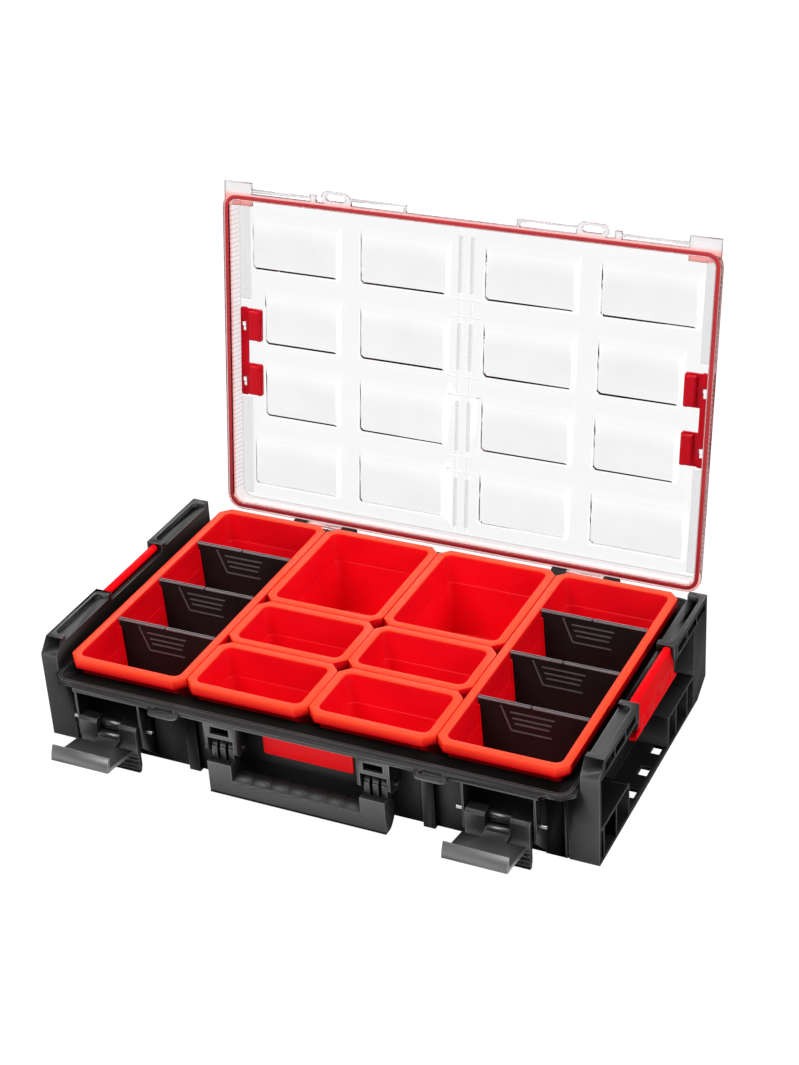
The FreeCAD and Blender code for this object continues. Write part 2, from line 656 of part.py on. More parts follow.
def lid_ring(extra, z, r):
    # Outline of the lid wall at height z, grown by extra.
    lean = LID_DRAFT * (z - LID_FLANGE_Z) / (LID_TOP - LID_FLANGE_Z)
    e = extra - LID_WALL_IN - lean
    return (-GASKET_X - e, GASKET_X + e, SEAL_Y0 - e, SEAL_Y1 + e, r, z)


def pad_box(x0, x1, y0, y1, z0, z1, grow):
    # A pad of the lid: small slopes all round and a wide one towards the front.
    b = PAD_BEVEL * (z1 - z0) / (LID_IN_Z - PAD_Z)
    w = PAD_BEVEL_WIDE * (z1 - z0) / (LID_IN_Z - PAD_Z)
    g = grow
    low = (x0 - g, x1 + g, y0 - g, y1 + g, 3.0, z0)
    high = (x0 - b - g, x1 + b + g, y0 - w - g, y1 + b + g, 3.0, z1)
    return taper(low, high, 1)


def pad_spans():
    spans = []
    for row in range(PAD_ROWS):
        y1 = SEAL_Y1 - PAD_FIRST - row * PAD_PITCH
        y0 = y1 - PAD_L
        spans.append((PAD_SIDE, PAD_SIDE + PAD_IN_W, y0, y1))
        out = GASKET_X - PAD_SIDE
        if 0 < row < PAD_ROWS - 1:
            out = out - PAD_BY_LOCK
        spans.append((PAD_OUT_X, out, y0, y1))
    return spans


def lid_front_pieces():
    pieces = []
    z0 = LID_FLANGE_Z
    z1 = LID_FLANGE_TOP
    edge = SEAL_Y0 - LID_EDGE + 1
    catch_in = LATCH_X - LATCH_HALF - 3.5
    catch_out = LATCH_X + LATCH_HALF + 1.5
    # Corner ear, catch bar of the latch and its inner stub.
    pieces.append(box(catch_out, GASKET_X + 2, FRONT - 30, edge + 12, z0, z1))
    pieces.append(box(catch_in - 1, catch_out + 1, FRONT - 23.5, FRONT - 20.5, z0, CATCH_TOP))
    pieces.append(box(catch_in - 7, catch_in, FRONT - 26, edge, z0, z1))
    # Padlock loop.
    pieces.append(stadium(LOOP_X, FRONT - LOOP_OUT, LOOP_HALF, LOOP_R, z0, z1))
    pieces.append(box(LOOP_X - LOOP_HALF + 3, LOOP_X + LOOP_HALF - 3, FRONT - 20, edge, z0, z1))
    # Channel bar between the loop and the middle.
    pieces.append(box(60, LOOP_X - LOOP_HALF + 2, FRONT - 26, FRONT - 23.5, z0, z1))
    pieces.append(box(60, 63, FRONT - 26, edge, z0, z1))
    pieces.append(box(LOOP_X - LOOP_HALF - 1, LOOP_X - LOOP_HALF + 4, FRONT - 26, edge, z0, z1))
    return pieces


def make_lid_frame():
    # Flange with the seal groove, the four walls, the front bars and the hinge knuckles.
    e = LID_EDGE
    flange = soft_slab(-GASKET_X - e, GASKET_X + e, SEAL_Y0 - e, SEAL_Y1 + e, GASKET_R + e,
                       LID_FLANGE_Z, LID_FLANGE_TOP, 5)
    walls = taper(lid_ring(LID_WALL, LID_FLANGE_Z, GASKET_R),
                  lid_ring(LID_WALL, LID_IN_Z, GASKET_R), 4)
    hollow = taper(lid_ring(0, LID_FLANGE_Z - 1, GASKET_R - LID_WALL),
                   lid_ring(0, LID_IN_Z + 1, GASKET_R - LID_WALL), 4)
    ring = join([flange, walls]).cut(hollow)
    a = HINGE_X - HINGE_LID_L / 2
    b = HINGE_X + HINGE_LID_L / 2
    adds = lid_front_pieces()
    adds.append(rod_x(HINGE_Y, HINGE_Z, HINGE_R, a, b))
    adds.append(box(a, b, SEAL_Y1, HINGE_Y + 1, LID_FLANGE_Z, LID_FLANGE_TOP))
    body = join([ring] + both(adds))
    right = [stadium(LOOP_X, FRONT - LOOP_OUT, LOOP_HOLE_HALF, LOOP_HOLE_R,
                     LID_FLANGE_Z - 3, LID_FLANGE_TOP + 3)]
    right.append(rod_x(HINGE_Y, HINGE_Z, HINGE_PIN_R + PIN_PLAY,
                       HINGE_X - HINGE_REACH - 5, HINGE_X + HINGE_REACH + 5))
    g = HINGE_SIDE_GAP
    for x0, x1 in base_knuckle_spans():
        right.append(rod_x(HINGE_Y, HINGE_Z, HINGE_R + 0.6, x0 - g, x1 + g))
    return carve(body, both(right) + [gasket_ring(GASKET_W / 2)])


def make_lid_panel():
    # The clear plate on top of the walls, with hollow pads, a spine and the studs of the locks.
    plate = taper(lid_ring(LID_WALL, LID_IN_Z, GASKET_R), lid_ring(LID_WALL, LID_TOP, GASKET_R), 4)
    adds = []
    cuts = []
    for x0, x1, y0, y1 in pad_spans():
        adds.append(pad_box(x0, x1, y0, y1, PAD_Z, LID_IN_Z + 0.5, 0))
        cuts.append(pad_box(x0, x1, y0, y1, PAD_Z + PAD_SKIN, LID_TOP + 0.5, -PAD_SKIN))
    for side in (-1, 1):
        x = (LOCK_IN + LOCK_OUT) / 2
        y = LOCK_Y + side * STUD_SPREAD
        head = LOCK_Z - STUD_PLAY
        for r, top in ((STUD_R, LID_IN_Z + 0.5), (STUD_HEAD_R, head)):
            adds.append(box(x - r, x + r, y - r, y + r, head - STUD_HEAD_T, top))
    low = LID_IN_Z - SPINE_H
    adds.append(box(SPINE_X - SPINE_T / 2, SPINE_X + SPINE_T / 2, SEAL_Y0 + 8, SEAL_Y1 - 8,
                    low, LID_IN_Z + 0.5))
    for t in SPINE_BARS:
        adds.append(box(-1, 2 * SPINE_BAR - 1, SEAL_Y1 - t - 1, SEAL_Y1 - t + 1, low, LID_IN_Z + 0.5))
    return carve(join([plate] + both(adds)), both(cuts))


def gasket_ring(g):
    z0 = RIDGE_TOP + LID_GAP
    return seal_ring(g, z0, z0 + GASKET_T)


def make_lock():
    y = LOCK_Y
    half = LOCK_L / 2
    bar = chip(LOCK_IN, LOCK_OUT, y - half, y + half, 1.5, LOCK_Z, LOCK_Z + LOCK_T)
    pieces = [bar]
    for side in (-1, 1):
        mid = y + side * (half - LOCK_TAB_L / 2 - 1)
        pieces.append(box(LOCK_TAB_IN + 1, LOCK_IN + 2, mid - LOCK_TAB_L / 2, mid + LOCK_TAB_L / 2,
                          LOCK_Z, LOCK_Z + LOCK_T))
        pieces.append(chip(LOCK_TAB_IN, LOCK_TAB_IN + 6, mid - LOCK_TAB_L / 2,
                           mid + LOCK_TAB_L / 2, 1.5, LOCK_TAB_Z, LOCK_Z + LOCK_T))
    cuts = []
    x = (LOCK_IN + LOCK_OUT) / 2
    r = STUD_R + STUD_PLAY
    for side in (-1, 1):
        mid = y + side * STUD_SPREAD
        cuts.append(box(x - r, x + r, mid - r, mid + r + LOCK_TRAVEL, LOCK_Z - 1, LOCK_Z + LOCK_T + 1))
    return carve(join(pieces), cuts)


def opened(shape):
    # Turns a piece made in the closed lid to the open place.
    done = shape.copy()
    done.rotate(V(0, HINGE_Y, HINGE_Z), V(1, 0, 0), -LID_OPEN)
    return done


def make_lever():
    ay = FRONT - LATCH_PIN_OUT
    by = FRONT - HOOK_PIN_OUT
    front = FRONT - LEVER_FACE
    back = FRONT - LEVER_BACK
    top = LATCH_PIN_Z + LEVER_TOP
    foot = LATCH_PIN_Z - LEVER_FOOT
    shape = [(back, top - 12), (back, top - 4), (back - 4, top), (front + 3, top), (front, top - 3),
             (front, foot), (front + 5, foot), (back - 5, top - 16)]
    pieces = []
    for a, b in ((-LATCH_HALF, -LATCH_GAP_HALF), (LATCH_GAP_HALF, LATCH_HALF)):
        pieces.append(prism_x(shape, LATCH_X + a, LATCH_X + b))
    g = LATCH_GAP_HALF
    pieces.append(flats_x(ay, LATCH_PIN_Z, LATCH_SLEEVE_R, LATCH_X - g - 1, LATCH_X + g + 1))
    near = front + 1
    far = near + LEVER_PLATE_T
    bend = LEVER_LOW + 6.5
    plate = [(near, foot + 5), (far, foot + 5), (far, bend), (far - 2, LEVER_LOW),
             (near - 2, LEVER_LOW), (near, bend)]
    pieces.append(prism_x(plate, LATCH_X - LATCH_HALF, LATCH_X + LATCH_HALF))
    tip = front - LEVER_RIB_H
    for i in range(LEVER_RIBS):
        z = LEVER_LOW + 3.5 + i * LEVER_RIB_PITCH
        rib = [(front + 2, z - 1), (front + 2, z + 1.4), (tip, z + 0.8), (tip, z)]
        pieces.append(prism_x(rib, LATCH_X - LATCH_HALF + 1, LATCH_X + LATCH_HALF - 1))
    cuts = [rod_x(ay, LATCH_PIN_Z, LATCH_PIN_R + PIN_PLAY, LATCH_X - LATCH_PIN_HALF,
                  LATCH_X + LATCH_PIN_HALF)]
    deep = LATCH_GAP_HALF + HOOK_AXLE_L + 0.3
    cuts.append(rod_x(by, HOOK_PIN_Z, HOOK_AXLE_R + PIN_PLAY, LATCH_X - deep, LATCH_X + deep))
    return carve(join(pieces), cuts)


def make_hook():
    by = FRONT - HOOK_PIN_OUT
    bz = HOOK_PIN_Z
    half = LATCH_GAP_HALF - HOOK_SIDE_GAP
    pieces = [flats_x(by, bz, HOOK_BARREL_R, LATCH_X - half, LATCH_X + half)]
    pieces.append(rod_x(by, bz, HOOK_AXLE_R, LATCH_X - LATCH_GAP_HALF - HOOK_AXLE_L,
                        LATCH_X + LATCH_GAP_HALF + HOOK_AXLE_L))

    def at(s, n):
        # s runs from the pivot towards the lip, n points out of the box.
        return (by - n, bz + s)

    face = HOOK_PLATE_IN
    out = HOOK_PLATE_OUT
    start = HOOK_START
    arm = [at(0, -0.5), at(start + 3, face), at(start + 3, out - 0.2), at(6, out - 0.2), at(1, 3.9)]
    pieces.append(prism_x(arm, LATCH_X - half, LATCH_X + half))
    r = HOOK_REACH
    end = r + HOOK_LIP_T
    tip = HOOK_LIP_IN
    plate = [at(start, face), at(r, face), at(r, 0.5 - tip), at(r + 2.4, -tip), at(end, 2.0),
             at(end, out + 0.4), at(r + 1.0, out + 0.8), at(r - 3.0, out), at(start, out)]
    pieces.append(prism_x(plate, LATCH_X - LATCH_HALF, LATCH_X + LATCH_HALF))
    shape = join(pieces)
    shape.rotate(V(0, by, bz), V(1, 0, 0), HOOK_OPEN)
    return shape


def handle_side_piece():
    # Right arm with its D shaped section and three hinge fingers.
    f = FRONT - HANDLE_FACE
    low = HANDLE_LOW
    pts = [V(ARM_IN, f, low), V(ARM_IN, f, ARM_TOP), V(ARM_IN, f + 6, ARM_TOP),
           V(ARM_IN, f + ARM_DEEP, ARM_TOP - ARM_BELLY), V(ARM_IN, f + 9, low)]
    edges = [Part.LineSegment(pts[0], pts[1]).toShape(), Part.LineSegment(pts[1], pts[2]).toShape(),
             Part.Arc(pts[2], pts[3], pts[4]).toShape(), Part.LineSegment(pts[4], pts[0]).toShape()]
    arm = Part.Face(Part.Wire(edges)).extrude(V(ARM_OUT - ARM_IN, 0, 0))
    hy = FRONT - HANDLE_PIN_OUT
    hz = HANDLE_PIN_Z
    web = [(hy - 8.5, hz), (hy - 8.5, ARM_TOP - 7.5), (hy - 1, ARM_TOP - 11.5), (hy + 6, hz - 3)]
    pieces = [arm]
    for i in range(3):
        x = ARM_IN + FINGER_SIDE + i * (FINGER_W + FINGER_GAP)
        pieces.append(flats_x(hy, hz, FINGER_R, x, x + FINGER_W))
        pieces.append(prism_x(web, x, x + FINGER_W))
    return join(pieces)


def grip_ring(x, r):
    # One ring of the finger grip, a polygon round its long axis.
    turns = [math.radians(360.0 * i / GRIP_SIDES) for i in range(GRIP_SIDES)]
    return [V(x, FRONT - GRIP_OUT + r * math.sin(a), GRIP_Z + r * math.cos(a)) for a in turns]


def make_handle():
    side = handle_side_piece()
    step = 2 * (ARM_IN + 1) / GRIP_BUMPS
    rings = []
    for i in range(GRIP_BUMPS):
        x = -ARM_IN - 1 + i * step
        rings.append(grip_ring(x, GRIP_R - GRIP_DIP))
        rings.append(grip_ring(x + 0.2 * step, GRIP_R))
        rings.append(grip_ring(x + 0.8 * step, GRIP_R))
    rings.append(grip_ring(ARM_IN + 1, GRIP_R - GRIP_DIP))
    grip = skin(rings)
    f = FRONT - HANDLE_FACE
    grip = grip.cut(box(-ARM_OUT, ARM_OUT, f - GRIP_R, f, GRIP_Z - 2 * GRIP_R, GRIP_Z + 2 * GRIP_R))
    strip = box(-ARM_IN - 1, ARM_IN + 1, f, f + 4, HANDLE_LOW, GRIP_Z + 6)
    body = join([grip, strip] + both([side]))
    hy = FRONT - HANDLE_PIN_OUT
    mid = (ARM_IN + ARM_OUT) / 2
    bores = [flats_x(hy, HANDLE_PIN_Z, HANDLE_PIN_R + 0.5, mid - FINGER_W, mid + FINGER_W)]
    for a, b in ((ARM_IN - 5, mid - FINGER_W), (mid + FINGER_W, ARM_OUT + 5)):
        bores.append(rod_x(hy, HANDLE_PIN_Z, HANDLE_PIN_R + PIN_PLAY, a, b))
    return carve(body, both(bores))


def make_clip():
    y0 = BAY_Y0 + CLIP_END_GAP
    y1 = BAY_Y1 - CLIP_END_GAP
    deep = CLIP_END_GAP + CLIP_DEEP
    barrel = rod_y(CLIP_X, CLIP_Z, CLIP_R, y0 - deep, y1 + deep)
    x1 = RAIL_OUT
    t = CLIP_T
    low = CLIP_LOW
    bend = low + 10
    shape = [(CLIP_X + 1, CLIP_Z + 3.8), (CLIP_X + 3.6, CLIP_Z + 1.5), (x1 - 1, CLIP_Z - 11), (x1, bend),
             (x1 - 0.8, low + 3), (x1 - 3.5, low), (x1 - 8.0, low), (x1 - 8.0, low + t),
             (x1 - 4.6, low + t), (x1 - 3.4, low + 4), (x1 - t, bend), (x1 - t - 1, CLIP_Z - 12),
             (CLIP_X + 1, CLIP_Z - 3)]
    plate = prism_y(shape, y0, y1)
    cuts = []
    for i in (-1, 0, 1):
        y = (y0 + y1) / 2 + i * SLOT_PITCH * 0.9
        cuts.append(box(x1 - CLIP_MARK_D, x1 + 2, y - CLIP_MARK_W / 2, y + CLIP_MARK_W / 2,
                        low + CLIP_MARK_UP, low + CLIP_MARK_UP + CLIP_MARK_H))
    return carve(join([barrel, plate]), cuts)


# Build and write every piece.
save(make_base(), "base_tray")
save(make_label(), "label_plate")
save_pair(rod_x(FRONT - LATCH_PIN_OUT, LATCH_PIN_Z, LATCH_PIN_R, LATCH_X - LATCH_PIN_HALF,
                LATCH_X + LATCH_PIN_HALF), "latch_pin")
save_pair(rod_x(FRONT - HANDLE_PIN_OUT, HANDLE_PIN_Z, HANDLE_PIN_R, ARM_IN - 6, ARM_OUT + 6),
          "handle_pin")
save_pair(rod_x(HINGE_Y, HINGE_Z, HINGE_PIN_R, HINGE_X - HINGE_REACH, HINGE_X + HINGE_REACH),
          "lid_hinge_pin")
save(opened(make_lid_frame()), "lid_frame")
save(opened(make_lid_panel()), "lid_panel")
save(opened(gasket_ring(GASKET_W / 2)), "lid_gasket")
save_pair(opened(make_lock()), "lid_lock")
save_pair(make_lever(), "latch_lever")
save_pair(make_hook(), "latch_hook")
save(make_handle(), "handle")
save_pair(make_clip(), "side_clip")

side_x0 = FIELD_HALF - SIDE_BIN_W
save_pair(make_side_bin(side_x0, FIELD_HALF), "bin_side")
for number, place in enumerate(divider_places()):
    piece = make_divider(side_x0, FIELD_HALF, place)
    save(piece, "divider_right_" + str(number + 1))
    left_piece = make_divider(-FIELD_HALF, -side_x0, place)
    save(left_piece, "divider_left_" + str(number + 1))
row_start = FRONT
rows = [("bin_front", FRONT_ROW), ("bin_mid", MID_ROW),
        ("bin_back", FIELD_L - FRONT_ROW - MID_ROW - 2 * BIN_GAP)]
for name, depth in rows:
    save_pair(make_bin(BIN_GAP / 2, BIN_GAP / 2 + MID_BIN_W, row_start, row_start + depth), name)
    row_start = row_start + depth + BIN_GAP
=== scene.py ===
import math

import bmesh
import bpy
from mathutils import Matrix, Vector


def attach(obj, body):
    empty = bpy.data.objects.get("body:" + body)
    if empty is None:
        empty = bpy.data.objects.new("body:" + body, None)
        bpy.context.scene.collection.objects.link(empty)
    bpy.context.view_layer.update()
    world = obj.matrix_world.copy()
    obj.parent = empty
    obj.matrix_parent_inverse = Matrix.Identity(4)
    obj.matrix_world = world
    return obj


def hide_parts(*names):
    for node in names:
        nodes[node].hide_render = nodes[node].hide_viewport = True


MM = 0.001
SIDES = (("left", -1), ("right", 1))

# Camera of the photograph: metres and degrees, with the lens and its sensor in millimetres.
CAMERA_PLACE = (0.8166, -1.5516, 1.2137)
CAMERA_AZIMUTH = 26.84
CAMERA_ELEVATION = 30.01
CAMERA_ROLL = 3.63
CAMERA_LENS = 71.26
CAMERA_SENSOR = 36.0

# Sizes and places are in millimetres, as in the solids. First the dividers of the side bins.
SIDE_BIN_IN = 131.5
SIDE_BIN_W = 129.0
DIVIDER_MID = 4.0
DIVIDER_PITCH = 79.75
DIVIDER_T = 1.6
DIVIDER_FOOT = 5.6
DIVIDER_TOP = 97.0
DIVIDER_FOOT_IN = 12.97
DIVIDER_TOP_IN = 9.57
DIVIDER_EDGE_H = 1.8
DIVIDER_EDGE_HALF = 1.5
NOTCH_AT = 0.49        # share of the width
NOTCH_HALF = 1.2
MARK_W = 1.3
MARK_OUT = 0.6
MARK_SUNK = 0.2
# Marks on a divider: start and end as a share of the width, each with its drop under the top edge.
DIVIDER_MARKS = (
    (0.293, 10.6, 0.694, 10.6), (0.313, 17.0, 0.664, 17.0), (0.332, 22.7, 0.645, 22.7),
    (0.297, 31.0, 0.664, 31.0), (0.208, 5.0, 0.297, 31.0),
)

# Side blocks and rails of the tray.
BLOCK_DEEP = 262.0
BLOCK_HIGH = 276.0
RAIL_FAR = 292.0
WINDOW_LOW = 38.0
WINDOW_TOP = 91.0
SHELF_LOW = 77.0
CUT_OVERLAP = 0.5
BLOCK_PLATES = ((-83.0, -79.0), (30.0, 34.0))
RAIL_POCKET_X = 281.0
RAIL_POCKET_LOW = 94.0
RAIL_POCKET_TOP = 103.0
RAIL_POCKETS = (
    (-142.0, -118.0), (-116.4, -90.0), (-88.4, -62.0), (58.0, 85.0), (86.6, 113.0), (114.6, 141.0),
)

# Bays of the side clips: outlines in X and Z.
BAY_Y0 = -52.5
BAY_Y1 = 47.5
GUSSET_T = 2.5
GUSSET = (
    (277.0, 92.0), (290.9, 92.0), (290.9, 87.0), (290.3, 83.0), (288.4, 80.0), (285.5, 78.4), (281.0, 78.0),
    (277.0, 80.0),
)
CLIP_BEAD_OVER = 6.0
CLIP_BEAD = (
    (290.9, 76.0), (290.9, 73.0), (289.2, 70.6), (287.4, 69.9), (283.0, 69.9), (283.0, 72.7), (286.2, 72.7),
    (287.6, 74.2), (288.3, 76.0),
)

# Sleeves of the latches.
TURNED_SIDES = 28
LATCH_X = 204.0
LEVER_PIN_Y = -174.0
LEVER_PIN_Z = 44.0
LEVER_SLEEVE_R = 5.2
HOOK_PIN_Y = -181.5
HOOK_PIN_Z = 35.0
HOOK_SLEEVE_R = 4.5
SLEEVE_HALF = 12.1
SLEEVE_STRAIGHT = 11.5
SLEEVE_CHAMFER = 0.5

# Label plate: the profile from back to field has an inset and a place along Y.
LABEL_HALF = 47.5
LABEL_Z0 = 37.8
LABEL_Z1 = 64.8
LABEL_R = 3.0
LABEL_ARC_STEPS = 5
LABEL_BACK = -156.0
LABEL_FACE = -157.4
LABEL_PROFILE = (
    (0.0, LABEL_BACK), (0.0, LABEL_FACE + 0.3), (0.6, LABEL_FACE), (1.8, LABEL_FACE), (2.2, LABEL_FACE + 0.5),
)

# Lid: heights and depths are those of the closed lid.
LID_OPEN = 99.0        # degrees
HINGE_Y = 180.8
HINGE_Z = 79.15
LID_FLANGE_TOP = 86.0
LID_WALL_X = 265.7
LID_LEAN = 1.4
LID_RIB_H = 15.5
LID_RIB_T = 1.0
LID_RIB_OUT = 1.3
LID_RIB_PITCH = 5.0
LID_RIB_Y0 = -155.0
LID_RIB_Y1 = 158.0
LEDGE_X0 = 250.0
LEDGE_X1 = 262.0
LEDGE_LOW = 101.0
LEDGE_TOP = 103.7
LEDGE_BEVEL = 0.6
LEDGE_SPANS = ((-162.0, -58.0), (53.0, 163.0))
SEAL_REAR = 172.5
SPINE_X = 6.5
SPINE_LOW = 98.7
SPINE_H = 2.5
SPINE_HALF = 1.7
SPINE_CORNER = 0.6     # share of the half width
SPINE_SPANS = ((14.0, 68.0), (99.0, 153.0), (187.0, 237.0), (269.0, 328.0))
LOCK_MID = 0.5
LOCK_TAB_SPREAD = 30.5
LOCK_TAB_HALF = 16.0
LOCK_TAB_X = 237.0
LOCK_TAB_W = 12.0
LOCK_LOW = 98.0
# Growth of a thumb block and its height, from its foot to its top.
LOCK_TAB_PROFILE = ((0.0, LOCK_LOW + 1.5), (0.0, LOCK_LOW - 3.0), (-1.4, LOCK_LOW - 4.2))

# Rounding of the edges.
WELD = 0.01
EDGE_ROUND = 0.5
SMALL_ROUND = 0.4
ROUND_SEGMENTS = 2
ROUND_ANGLE = 35       # degrees

# Places that steer the colours.
RIM_HEIGHTS = (94.5, 96.5)
SKIRT_HEIGHTS = (88.5, 96.5)
SKIRT_DEPTHS = (-147.0, -148.0)
LEVEL_SHADE_HEIGHTS = (85.0, 97.0)
GROUND_HEIGHTS = (100.2, 100.8)
GLOW_HEIGHTS = (LID_FLANGE_TOP, 88.5)
GLOW_REACH = (1.5, 6.5)
SEAL_X = 266.5
SEAL_MID = 0.5
SEAL_HALF = 172.0
PAINTED_EDGE_REACH = 1.3
FRAME_PAINTED_EDGE_REACH = 1.8
HOLLOW_REACH = 70.0

# Ranges of shading values. A facing is a part of the normal, and a turn is a cosine.
UNIT = (0.0, 1.0)
NOISE_MIDDLE = (0.3, 0.7)
PAINTED_EDGE_TURN = (0.99, 0.88)
SLOPE_TURN = (0.99, 0.93)
LEVEL_FACING = (0.3, 0.9)
RIM_FACING = (0.1, 0.9)
SKIRT_FACING = (-0.2, -0.5)
SKIRT_BLEND = (0.0, 0.9)
HIGHLIGHT_OPENNESS = (0.3, 0.9)
SHINE_OPENNESS = (0.45, 0.97)
HOLLOW_SHINE = 0.02
HIGH_LEVEL_SHADE = 0.45
GLOW_BY_HEIGHT = (1.0, 0.12)
GLOW_BY_REACH = (1.0, 0.06)
BLACK_ROUGHNESS = (0.42, 0.54)
RED_ROUGHNESS = (0.36, 0.46)
RED_SPECULAR = 0.13
CLEAR_ROUGHNESS = (0.02, 0.06)

# Noises: scale and detail. Grains: scale, and depth in metres.
SLOW_NOISE = (14.0, 3.0)
CLEAR_NOISE = (20.0, 2.0)
GRAIN_DETAIL = 2.0
GRAIN_STRENGTH = 0.5
BLACK_GRAIN = (900.0, 0.00012)
RED_GRAIN = (700.0, 0.00006)
SMOOTH_GRAIN = (500.0, 0.00004)
MARK_GRAIN = (900.0, 0.00008)
SLEEVE_GRAIN = (900.0, 0.00003)
SEAL_GRAIN = (600.0, 0.00005)
STEEL_GRAIN = (1200.0, 0.00003)
CLEAR_RIPPLE = 0.0004
CLEAR_RIPPLE_STRENGTH = 0.2
BEVEL_SAMPLES = 4
HOLLOW_SAMPLES = 6

# Colours are linear values.
BLACK = (0.0075, 0.0072, 0.0072)
BLACK_LIGHT = (0.0125, 0.0120, 0.0120)
EDGE_HIGHLIGHT_GREY = (0.150, 0.148, 0.150)
MARK_GREY = (0.075, 0.070, 0.072)
MARK_GREY_LIGHT = (0.110, 0.104, 0.106)
EDGE_GREY = (0.170, 0.158, 0.166)
EDGE_GREY_LIGHT = (0.250, 0.236, 0.246)
RED = (0.77, 0.0016, 0.0080)
RED_DEEP = (0.68, 0.0010, 0.0065)
RIM_HIGHLIGHT_ORANGE = (0.95, 0.046, 0.011)
CLIP_RED = (0.90, 0.0040, 0.0080)
CLIP_RED_DEEP = (0.80, 0.0020, 0.0060)
LOCK_RED = (0.50, 0.0030, 0.0120)
LOCK_RED_DEEP = (0.42, 0.0020, 0.0090)
SEAL_RED = (0.42, 0.010, 0.016)
SEAL_RED_DEEP = (0.34, 0.006, 0.010)
SEAL_REFLECTION_PINK = (0.97, 0.40, 0.37)
CLEAR = (0.79, 0.79, 0.80)
CLEAR_LIGHT = (0.82, 0.82, 0.825)
CLEAR_GROUND = (0.84, 0.84, 0.845)
CLEAR_SLOPE = (0.99, 0.99, 0.99)
CLEAR_EDGE = (0.20, 0.19, 0.22)
PANEL_EDGE = (0.72, 0.71, 0.74)
STEEL = (0.26, 0.26, 0.27)
STEEL_LIGHT = (0.36, 0.36, 0.37)
FLOOR = (0.05, 0.05, 0.05)
WHITE = (1.0, 1.0, 1.0)

# Stage and lights, in metres and watts.
FLOOR_HALF = 20.0
FLOOR_ROUGHNESS = 0.9
DOME_R = 18.0
DOME_SEGMENTS = 32
DOME_RINGS = 16
WORLD_STRENGTH = 0.28
LIGHT_TARGET = (0.0, 0.0, 0.1)
# Each light has a name, a place, a width and length, and its power.
LIGHTS = (
    ("key", (-0.9, -1.5, 2.3), (1.4, 1.4), 48.0),
    ("top", (0.1, 0.1, 2.4), (1.8, 1.4), 37.0),
    ("back", (-1.3, 2.3, 1.7), (2.4, 1.2), 33.0),
    ("side", (2.2, -0.6, 1.4), (1.0, 1.0), 32.0),
)
CARD_PLACE = (-0.25, -0.80, 0.004)
CARD_TARGET = (-0.25, -0.80, 1.0)
CARD_SIZE = (1.8, 1.24)
CARD_POWER = 12.0

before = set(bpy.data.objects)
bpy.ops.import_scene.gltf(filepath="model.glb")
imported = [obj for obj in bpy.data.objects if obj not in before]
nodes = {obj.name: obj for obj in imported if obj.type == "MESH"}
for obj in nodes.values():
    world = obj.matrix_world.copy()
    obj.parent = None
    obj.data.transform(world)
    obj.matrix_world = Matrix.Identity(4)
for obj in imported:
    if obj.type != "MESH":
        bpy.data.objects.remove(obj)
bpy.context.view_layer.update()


def shader(name):
    material = bpy.data.materials.new(name)
    material.use_nodes = True
    tree = material.node_tree
    return material, tree, tree.nodes["Principled BSDF"]


def object_place(tree):
    return tree.nodes.new("ShaderNodeTexCoord").outputs["Object"]


def parts_of(tree, vector):
    made = tree.nodes.new("ShaderNodeSeparateXYZ")
    tree.links.new(vector, made.inputs["Vector"])
    return made.outputs


def facing(tree):
    return parts_of(tree, tree.nodes.new("ShaderNodeNewGeometry").outputs["Normal"])


def noise(tree, scale, detail, coords):
    made = tree.nodes.new("ShaderNodeTexNoise")
    made.inputs["Scale"].default_value = scale
    made.inputs["Detail"].default_value = detail
    tree.links.new(coords, made.inputs["Vector"])
    return made.outputs["Fac"]


def scaled(tree, source, span, limits):
    # A value that goes from the first limit to the second over a span of the source.
    made = tree.nodes.new("ShaderNodeMapRange")
    made.inputs["From Min"].default_value = span[0]
    made.inputs["From Max"].default_value = span[1]
    made.inputs["To Min"].default_value = limits[0]
    made.inputs["To Max"].default_value = limits[1]
    tree.links.new(source, made.inputs["Value"])
    return made.outputs["Result"]


def placed(tree, source, span, limits):
    # The same over a span in millimetres.
    return scaled(tree, source, [value * MM for value in span], limits)


def two_tone(tree, source, dark, light):
    made = tree.nodes.new("ShaderNodeValToRGB")
    for element, position, colour in zip(made.color_ramp.elements, NOISE_MIDDLE, (dark, light)):
        element.position = position
        element.color = (*colour, 1.0)
    tree.links.new(source, made.inputs["Fac"])
    return made.outputs["Color"]


def relief(tree, source, depth, strength):
    made = tree.nodes.new("ShaderNodeBump")
    made.inputs["Distance"].default_value = depth
    made.inputs["Strength"].default_value = strength
    tree.links.new(source, made.inputs["Height"])
    return made.outputs["Normal"]


def calculated(tree, operation, *values):
    # A math node over sockets and numbers.
    made = tree.nodes.new("ShaderNodeMath")
    made.operation = operation
    for value, socket in zip(values, made.inputs):
        if isinstance(value, float):
            socket.default_value = value
        else:
            tree.links.new(value, socket)
    return made.outputs["Value"]


def product(tree, first, second):
    return calculated(tree, "MULTIPLY", first, second)


def blended(tree, factor, colour, other):
    # The first colour, turning into a constant one where the factor is high.
    made = tree.nodes.new("ShaderNodeMix")
    made.data_type = "RGBA"
    tree.links.new(factor, made.inputs["Factor"])
    tree.links.new(colour, made.inputs["A"])
    made.inputs["B"].default_value = (*other, 1.0)
    return made.outputs["Result"]


def finish_surface(tree, bsdf, coords, slow, roughness, grain):
    # Uneven gloss and a fine spark texture.
    scale, depth = grain
    fine = noise(tree, scale, GRAIN_DETAIL, coords)
    tree.links.new(scaled(tree, slow, NOISE_MIDDLE, roughness), bsdf.inputs["Roughness"])
    tree.links.new(relief(tree, fine, depth, GRAIN_STRENGTH), bsdf.inputs["Normal"])


